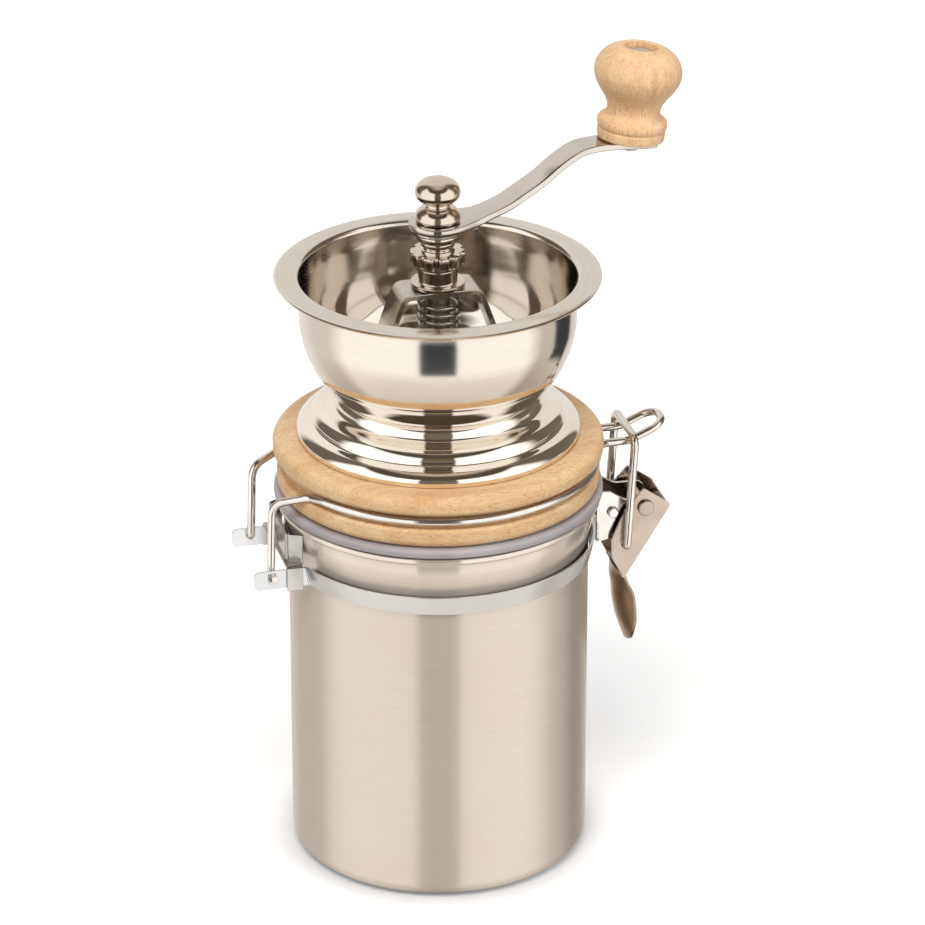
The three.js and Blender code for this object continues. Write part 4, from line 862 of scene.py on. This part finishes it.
belongs(turned("gasket", gasketLine, gasketRubber, 160), "lid", "silicone", "silicone_gasket")

bail = {
    "wire": 2.7, "footAt": 18.75, "legAt": 14.95, "hinge": (-60.7, 110.6), "shoulderRise": 26,
    "shoulderInset": 0.8, "kink": 157.5, "ring": 52.65, "height": 141.1, "kinkDrop": 1.2, "loopHalf": 6,
    "loopRoot": 56.2, "loopLevel": 64.1, "loopDrop": 0.2, "loopTip": 76.4, "loopRise": 5.0, "steps": 60}
peen = {"points": 4, "tip": 2.0, "notch": 1.2, "depth": 0.5, "inset": 0.35}


def bailPath():
    (hx, hz), leg, height, loop = bail["hinge"], bail["legAt"], bail["height"], bail["loopHalf"]
    turn = asin((loop + bail["wire"]) / bail["ring"])
    at = lambda angle, z: (bail["ring"] * cos(angle), bail["ring"] * sin(angle), z)
    kink = radians(bail["kink"])
    half = [
        (hx, bail["footAt"], hz), (hx, leg, hz, 2),
        (hx + bail["shoulderInset"], leg, hz + bail["shoulderRise"], 5.5),
        (*at(kink, height - bail["kinkDrop"]), 5.5)]
    half += [at(kink + (turn - kink) * n / bail["steps"], height) for n in range(3, bail["steps"])]
    half += [
        (*at(turn, height), 2.7), (bail["loopRoot"], loop, height - bail["loopDrop"], 2.7),
        (bail["loopLevel"], loop, height - bail["loopDrop"], 6),
        (bail["loopTip"], loop, height + bail["loopRise"], loop - 0.7)]
    return rounded(mirrored(half), 12)


def bailPiece():  # the wire and the star that the peening tool leaves on each end
    (hx, hz), depth = bail["hinge"], peen["depth"]
    reaches = [peen["tip"] if n % 2 else peen["notch"] for n in range(2 * peen["points"])]
    star = [(hx + reach * cos(pi * n / peen["points"]), hz + reach * sin(pi * n / peen["points"]))
            for n, reach in enumerate(reaches)]
    ends = [prism(star, -depth, depth, alongY(hand * (bail["footAt"] - peen["inset"]))) for hand in (-1, 1)]
    wire = drawn("bailLine", bailPath(), bail["wire"], chromeWire)
    return joinPieces("bailWire", wire, bevelled("bailEnds", ends, chromeWire, 0.2))


belongs(bailPiece(), "lid", "wire_steel", "bail_wire")
print("lid ring, gasket and wires made")


# dome and hopper
def shell(outerLine, wall):  # a spun sheet: its outer face and the same line moved inwards
    return outerLine + beside(outerLine, wall)[::-1]


dome = {
    "tiers": [(46.48, 150.2), (47.0, 151.74), (46.44, 153.28), (44.65, 154.82), (42.07, 155.82),
        (41.74, 157.41), (40.09, 159.59), (36.19, 160.9), (34.69, 161.9), (34.12, 163.8), (32.85, 165.2),
        (30.69, 165.6)], "wall": 0.8, "flange": 37.5, "mouth": 26.3}
domeLine = [
    Vector((dome["flange"], 0, dome["tiers"][0][1])), *flow([(r, 0, z) for r, z in dome["tiers"]], 6),
    Vector((dome["mouth"], 0, dome["tiers"][-1][1]))]
belongs(
    turned("steppedDome", shell(domeLine, dome["wall"]), mirrorDome, 192, 50), "lid", "mirror_steel",
    "stepped_dome")

bowl = {
    "throat": [(17.8, 154.0), (17.8, 158.5, 1.2), (25.5, 165.9, 1.2), (32.5, 165.9)],
    "side": [(32.5, 165.9), (35.2, 166.6), (37.0, 168.4), (38.9, 171.3), (41.5, 175.6), (43.8, 181.2),
        (45.25, 187.5), (45.6, 193.4), (45.6, 200)],
    "rim": [(45.6, 200), (46.2, 205.65, 1.3), (52.7, 205.2, 0.5), (53.1, 204.9)], "wall": 0.8}
bowlLine = profile(bowl["throat"], 6) + flow([(r, 0, z) for r, z in bowl["side"]], 6)[1:]
bowlLine += profile(bowl["rim"], 8)[1:]
belongs(
    turned("hopperBowl", shell(bowlLine, bowl["wall"]), satinBowl, 192, 50), "lid", "hopper_steel",
    "hopper_bowl")

bridge = {"line": [(32.5, 0, 167.0, 0), (23.8, 0, 167.0, 2.5), (12, 0, 199.8, 2.5)], "wall": 1.8, "half": 7}
bridgeLine = rounded([(-x, *rest) for x, *rest in bridge["line"]] + bridge["line"][::-1], 8)
bridgeStrip = stripAlong(bridgeLine, bridge["wall"], lambda i: bridge["half"])
belongs(bevelled("hopperBridge", [bridgeStrip], plainSheet, 0.25), "lid", "plain_steel", "hopper_bridge")

rivet = {"at": 29, "head": 3, "headHeight": 1.1, "shank": 1.5, "foot": 164.2}


def rivetPair(name, headFoot, firstAngle, *nodes):
    top = headFoot + rivet["headHeight"]
    line = profile([(0, rivet["foot"]), (rivet["shank"], rivet["foot"]), (rivet["shank"], headFoot),
                    (rivet["head"], headFoot, 0.15), (rivet["head"], top, 0.95), (0, top)], 8)
    one = turned(name + "One", line, plainSheet, 32, 38, Matrix.Translation((rivet["at"] * mm, 0, 0)))
    fasteners(name, one, nodes, firstAngle)


rivetPair("bridgeRivets", 169.1, 0.0, "hopper_rivet_1", "hopper_rivet_3")
rivetPair("bowlRivets", 167.0, pi / 2, "hopper_rivet_2", "hopper_rivet_4")
onAxisPart(
    "guideBushing", [(4.3, 199.8), (5, 199.8), (5, 201.9), (9, 201.9, 0.4), (9, 203.4, 0.4),
        (6.5, 203.4, 0.3), (6.5, 208.4, 0.5), (4.3, 208.4, 0.3)], 5, "lid", "guide_bushing")
print("dome and hopper made")

# burrs, screws and lower bridge
ringBurr = {
    "teeth": 24, "from": 137.6, "to": 152.8, "mouth": 16.2, "narrowing": 1.4, "depth": 0.9, "half": 0.9,
    "twist": 0.35,
    "body": [(16.2, 137.2, 0.3), (22, 137.2, 0.5), (22, 150.2), (30, 150.2, 0.3), (30, 153.2, 0.4),
        (14.8, 153.2, 0.4)]}
coneBurr = {
    "teeth": 12, "from": 138.2, "to": 157.6, "mouth": 13.4, "narrowing": 7.8, "depth": 1.3, "half": 1.1,
    "twist": 0.9, "body": [(4.3, 138), (13.4, 138, 0.4), (5.6, 157.6, 0.4), (5.6, 158, 0.2), (4.3, 158)]}


def toothShell(burr, outwards):  # one cutting rib along a cone, twisted about the axis
    sections = []
    for n in range(13):
        share = n / 12
        z, turn = burr["from"] + (burr["to"] - burr["from"]) * share, burr["twist"] * share
        radius, half = burr["mouth"] - burr["narrowing"] * share, burr["half"]
        tip, root = radius + burr["depth"] * outwards, radius - 0.4 * outwards
        spots = [(root, -half), (tip, -half * 0.25), (tip, half * 0.25), (root, half)]
        sections.append([
            Vector((r * cos(turn) - t * sin(turn), r * sin(turn) + t * cos(turn), z)) for r, t in spots])
    return loft(sections)


def burrPiece(name, burr, outwards, segments):
    body = turned(name + "Body", profile(burr["body"], 4), machinedIron, segments)
    tooth = meshOf(name + "Tooth", [toothShell(burr, outwards)], machinedIron)
    return joinPieces(name, body, grow(tooth, "ring", name + "Teeth", machinedIron, {"Count": burr["teeth"]}))


belongs(burrPiece("outerBurr", ringBurr, -1, 96), "lid", "burr_iron", "outer_burr")
belongs(burrPiece("innerBurr", coneBurr, 1, 64), "spindle", "burr_iron", "inner_burr")


# screws with recessed pan heads
def screwSet(name, headRadius, headFrom, headTo, shank, shankEnd, place, nodes, firstAngle=0.0):
    recessFoot = headTo - 0.8 * (1 if headTo > headFrom else -1)
    line = profile([(0, shankEnd), (shank, shankEnd, 0.3), (shank, headFrom), (headRadius, headFrom, 0.1),
                    (headRadius, headTo, 0.6), (1.1, headTo), (0.25, recessFoot), (0, recessFoot)], 5)
    one = turned(name + "One", line, plainSheet, 32, 38, Matrix.Translation((place * mm, 0, 0)))
    fasteners(name, one, nodes, firstAngle)


screwSet("burrScrews", 2.5, 153.5, 155.0, 1.25, 146.0, 27, ["burr_screw_1", "burr_screw_2", "burr_screw_3"])
screwSet("lidScrews", 3, 130.0, 128.0, 1.5, 151.8, 41, ["lid_screw_1", "lid_screw_2", "lid_screw_3"])
screwSet(
    "strapScrews", 3, 124.2, 122.2, 1.5, 132.2, 30, ["lower_bridge_screw_1", "lower_bridge_screw_2"], pi / 2)
strap = prism(plate(-6, -35, 6, 35, 6, 12), 124.5, 126.0, alongZ)
belongs(bevelled("lowerStrap", [strap], plainSheet, 0.2), "lid", "plain_steel", "lower_bridge")
onAxisPart(
    "lowerBushing", [(4.3, 122.7, 0.2), (7, 122.7, 0.3), (7, 124.2, 0.3), (5, 124.2), (5, 129.2, 0.3),
        (4.3, 129.2)], 4, "lid", "lower_bushing")
print("burrs and screws made")

# spindle
shaftLine = profile(
    [(0, 119.5), (4, 119.5, 1), (4, 158.3), (5.2, 158.3, 0.3), (5.2, 161, 0.3), (4, 161), (4, 175),
        (5.2, 175, 0.3), (5.2, 177.7, 0.3), (4, 177.7), (4, 220.4), (3.3, 220.6), (3.3, 224.3), (2.5, 224.4),
        (2.5, 231.3, 0.6), (0, 231.3)], 5)
belongs(turned("driveShaft", shaftLine, plainSheet), "spindle", "plain_steel", "drive_shaft")
onAxisPart("springSeat", washer(7.5, 178.0, 180.5, 0.4), 4, "spindle", "spring_seat")
# the coil leaves the spindle room to rise
spring = {"Curls": 6.0, "Radius": 0.0062, "Foot": 0.1815, "Rise": 0.0159, "Wire": 0.0014}
coiled = grow(
    curveThrough("springStart", [(0, 0, 0), (0, 0, mm)]), "coil", "burrSpring", plainSheet, spring, 60)
belongs(coiled, "spindle", "plain_steel", "burr_spring")
nut = {"corner": 7.16, "foot": 133.7, "top": 137.7}
nutAngles = [radians(30 + 60 * n) for n in range(6)]
hexagon = flatOutline([(nut["corner"] * cos(a), nut["corner"] * sin(a), 0.3) for a in nutAngles], 3)
nutShell = prism(hexagon, nut["foot"], nut["top"], alongZ)
belongs(bevelled("burrNut", [nutShell], plainSheet, 0.35), "spindle", "plain_steel", "burr_nut")
onAxisPart("thrustWasher", washer(7.5, 208.7, 209.8, 0.3), 4, "carrier", "thrust_washer")

star = {
    "points": 10, "radius": 9, "notch": 0.14, "foot": 210.1, "top": 213.9, "steps": 200,
    "hub": [(4.3, 213.5), (5.6, 213.5), (5.6, 214.6, 0.3), (5.0, 214.9, 0.3), (5.0, 215.7, 0.3),
        (5.6, 216.0, 0.3), (5.6, 217.6, 0.5), (4.3, 217.6, 0.2)]}
starOutline = []
for n in range(star["steps"]):
    angle = n * 2 * pi / star["steps"]
    reach = star["radius"] * (1 - star["notch"] * max(0, cos(angle * star["points"])) ** 1.3)
    starOutline.append((reach * cos(angle), reach * sin(angle)))
wheel = bevelled("starWheel", [prism(starOutline, star["foot"], star["top"], alongZ)], turnedNickel, 0.5, 3)
hub = turned("starHub", profile(star["hub"], 5), turnedNickel)
belongs(joinPieces("adjustingNut", wheel, hub), "adjuster", "nickel_steel", "adjusting_nut")
onAxisPart("shaftCollar", washer(7, 217.9, 220.4, 0.7), 6, "spindle", "shaft_collar")

# crank
crank = {
    "angle": 10.2, "eye": 9.5, "eyeStart": 9.48, "half": 5, "reach": 78, "wall": 2.4, "taperEnd": 18,
    "corner": 1.8, "top": 224.3, "round": 0.6,
    "line": [(3, 224.3), (9.2, 224.5), (14.2, 225.01), (22.78, 227.41), (29.25, 230.49), (35.8, 233.95),
        (42.2, 238.28), (48.67, 241.59), (53.12, 242.5), (60.37, 242.5), (69.5, 241.46), (78, 240.5)]}
crankTurn = Matrix.Rotation(radians(crank["angle"]), 4, "Z")


def armHalf(x):  # half the arm's width: a round eye, a taper and a bar with rounded corners
    eye, half = crank["eye"], crank["half"]
    if x < 0:
        width = sqrt(max(eye * eye - x * x, 0.04))
    elif x < crank["taperEnd"]:
        share = x / crank["taperEnd"]
        width = half + (eye - half) * (1 - share * share * (3 - 2 * share))
    else:
        width = half
    corner = crank["corner"]
    past = x - (crank["reach"] - corner)
    return width - corner + sqrt(max(corner * corner - past * past, 0)) if past > 0 else width


def eyeStations(start, count):  # close together at the eye's tip
    return [-start + start * (1 - cos(pi / 2 * n / count)) for n in range(count)]


def armPiece():
    last = crank["reach"] - crank["corner"]
    (ax, az), (bx, bz) = crank["line"][-2:]
    padEnd = [last] + [last + crank["corner"] * sin(pi / 2 * n / 6) for n in range(1, 7)]
    whole = [Vector((x, 0, crank["top"])) for x in [*eyeStations(crank["eyeStart"], 14), 0, 1, 2]]
    whole += [p for p in flow([(x, 0, z) for x, z in crank["line"]], 9) if p.x < last - 0.1]
    whole += [Vector((x, 0, az + (x - ax) * (bz - az) / (bx - ax))) for x in padEnd]
    whole.reverse()
    strip = stripAlong(whole, crank["wall"], lambda i: armHalf(whole[i].x), crank["round"])
    arm = settle(meshOf("crankArm", [strip], polishedArm), "crankArm", 25)
    arm.data.transform(crankTurn)
    return arm


belongs(armPiece(), "spindle", "arm_steel", "crank_arm")

lock = {
    "eye": 8.5, "eyeStart": 8.48, "half": 4.2, "reach": 12.4, "top": 221.6, "wall": 0.9, "bend": 1.3,
    "foot": 213.8, "tip": 1.5, "tabTop": 219.4}


def lockHalf(p):  # half the plate's width: a round eye, then a tab that narrows to its tip
    if p.z < lock["tabTop"]:
        share = (lock["tabTop"] - p.z) / (lock["tabTop"] - lock["foot"])
        return lock["half"] + (lock["tip"] - lock["half"]) * share
    return max(lock["half"] if p.x > 0 else 0.2, sqrt(max(lock["eye"] ** 2 - p.x ** 2, 0)))


def lockPiece():
    reach, top = lock["reach"], lock["top"]
    level = [*eyeStations(lock["eyeStart"], 12), 0, 2, 4, 5, 6, 6.8, 7.3, 8, 9.5]
    bend = rounded([(9.5, 0, top), (reach, 0, top, lock["bend"]), (reach, 0, lock["foot"])], 8)[1:-1]
    whole = [Vector((x, 0, top)) for x in level] + bend + [
        Vector((reach, 0, top - 2 - 5.8 * n / 8)) for n in range(1, 9)]
    whole.reverse()
    made = bevelled(
        "lockPlate", [stripAlong(whole, lock["wall"], lambda i: lockHalf(whole[i]))], polishedArm, 0.15)
    made.data.transform(crankTurn)
    return made


belongs(lockPiece(), "spindle", "mirror_steel", "lock_plate")

finial = {
    "radius": 7.45, "foot": 224.6, "height": 14.5, "bore": 2.8, "boreTop": 232.8,
    "shape": [(0.966, 0), (1, 0.05), (1, 0.1), (0.92, 0.21), (0.72, 0.31), (0.56, 0.345), (0.53, 0.385),
        (0.56, 0.42), (0.78, 0.475), (0.94, 0.56), (1, 0.67), (0.95, 0.79), (0.8, 0.885), (0.56, 0.955),
        (0.3, 0.99), (0, 1)]}
finialLine = profile(
    [(0, finial["boreTop"]), (finial["bore"], finial["boreTop"]), (finial["bore"], finial["foot"])], 3)
finialLine += flow(
    [(r * finial["radius"], 0, finial["foot"] + z * finial["height"]) for r, z in finial["shape"]], 5)
finialLine[-1].x = 0
belongs(turned("finialNut", finialLine, darkNickel, 96, 45), "spindle", "mirror_steel", "finial_nut")

knob = {
    "radius": 14.5, "foot": 0.3, "height": 31.5, "bore": 2.6, "recess": 5.45, "recessDepth": 3,
    "at": (69.5, 241.4633), "lean": 6.479,
    "shape": [(0.70, 0.0), (0.755, 0.008), (0.77, 0.03), (0.775, 0.07), (0.772, 0.1), (0.759, 0.112),
        (0.774, 0.124), (0.792, 0.142), (0.8, 0.17), (0.79, 0.2), (0.76, 0.222), (0.715, 0.236),
        (0.665, 0.25), (0.63, 0.27), (0.612, 0.3), (0.612, 0.34), (0.642, 0.39), (0.70, 0.44), (0.79, 0.5),
        (0.88, 0.56), (0.95, 0.625), (0.995, 0.7), (0.99, 0.77), (0.94, 0.84), (0.84, 0.905), (0.7, 0.955),
        (0.55, 0.985), (0.44, 0.995)]}
padAt = Matrix.Translation((knob["at"][0] * mm, 0, knob["at"][1] * mm))
onPad = crankTurn @ padAt @ Matrix.Rotation(radians(knob["lean"]), 4, "Y")
knobTop, recess = knob["foot"] + knob["height"], knob["recess"]
knobLine = profile([(knob["bore"], knob["foot"]), (10.0, knob["foot"])], 3)
knobLine += flow([(r * knob["radius"], 0, knob["foot"] + z * knob["height"]) for r, z in knob["shape"]], 5)
knobLine += profile(
    [(6.2, knobTop - 0.1), (recess, knobTop - 0.2, 0.5), (recess, knobTop - knob["recessDepth"], 0.4),
        (knob["bore"], knobTop - knob["recessDepth"])], 5)[1:]
belongs(turned("crankKnob", knobLine, beechKnob, 96, 50, onPad), "knob", "beech", "crank_knob")
pinLine = profile(
    [(0, -3.7), (3, -3.7, 0.6), (3, -2.7), (2.3, -2.7), (2.3, 29.1), (4.4, 29.1, 0.2), (4.4, 30.3, 0.9),
        (0, 30.3)], 6)
belongs(turned("knobPin", pinLine, plainSheet, 48, 38, onPad), "spindle", "plain_steel", "knob_pin")
print("spindle and crank made")

for node in frame["nodes"].values():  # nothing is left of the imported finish
    node.data.materials.clear()
    node.data.materials.append(plainSheet)

triangles = sum(
    len(p.vertices) - 2 for o in scene.objects if o.type == "MESH" and not o.hide_render
    for p in o.data.polygons)
print("triangles shown:", triangles)
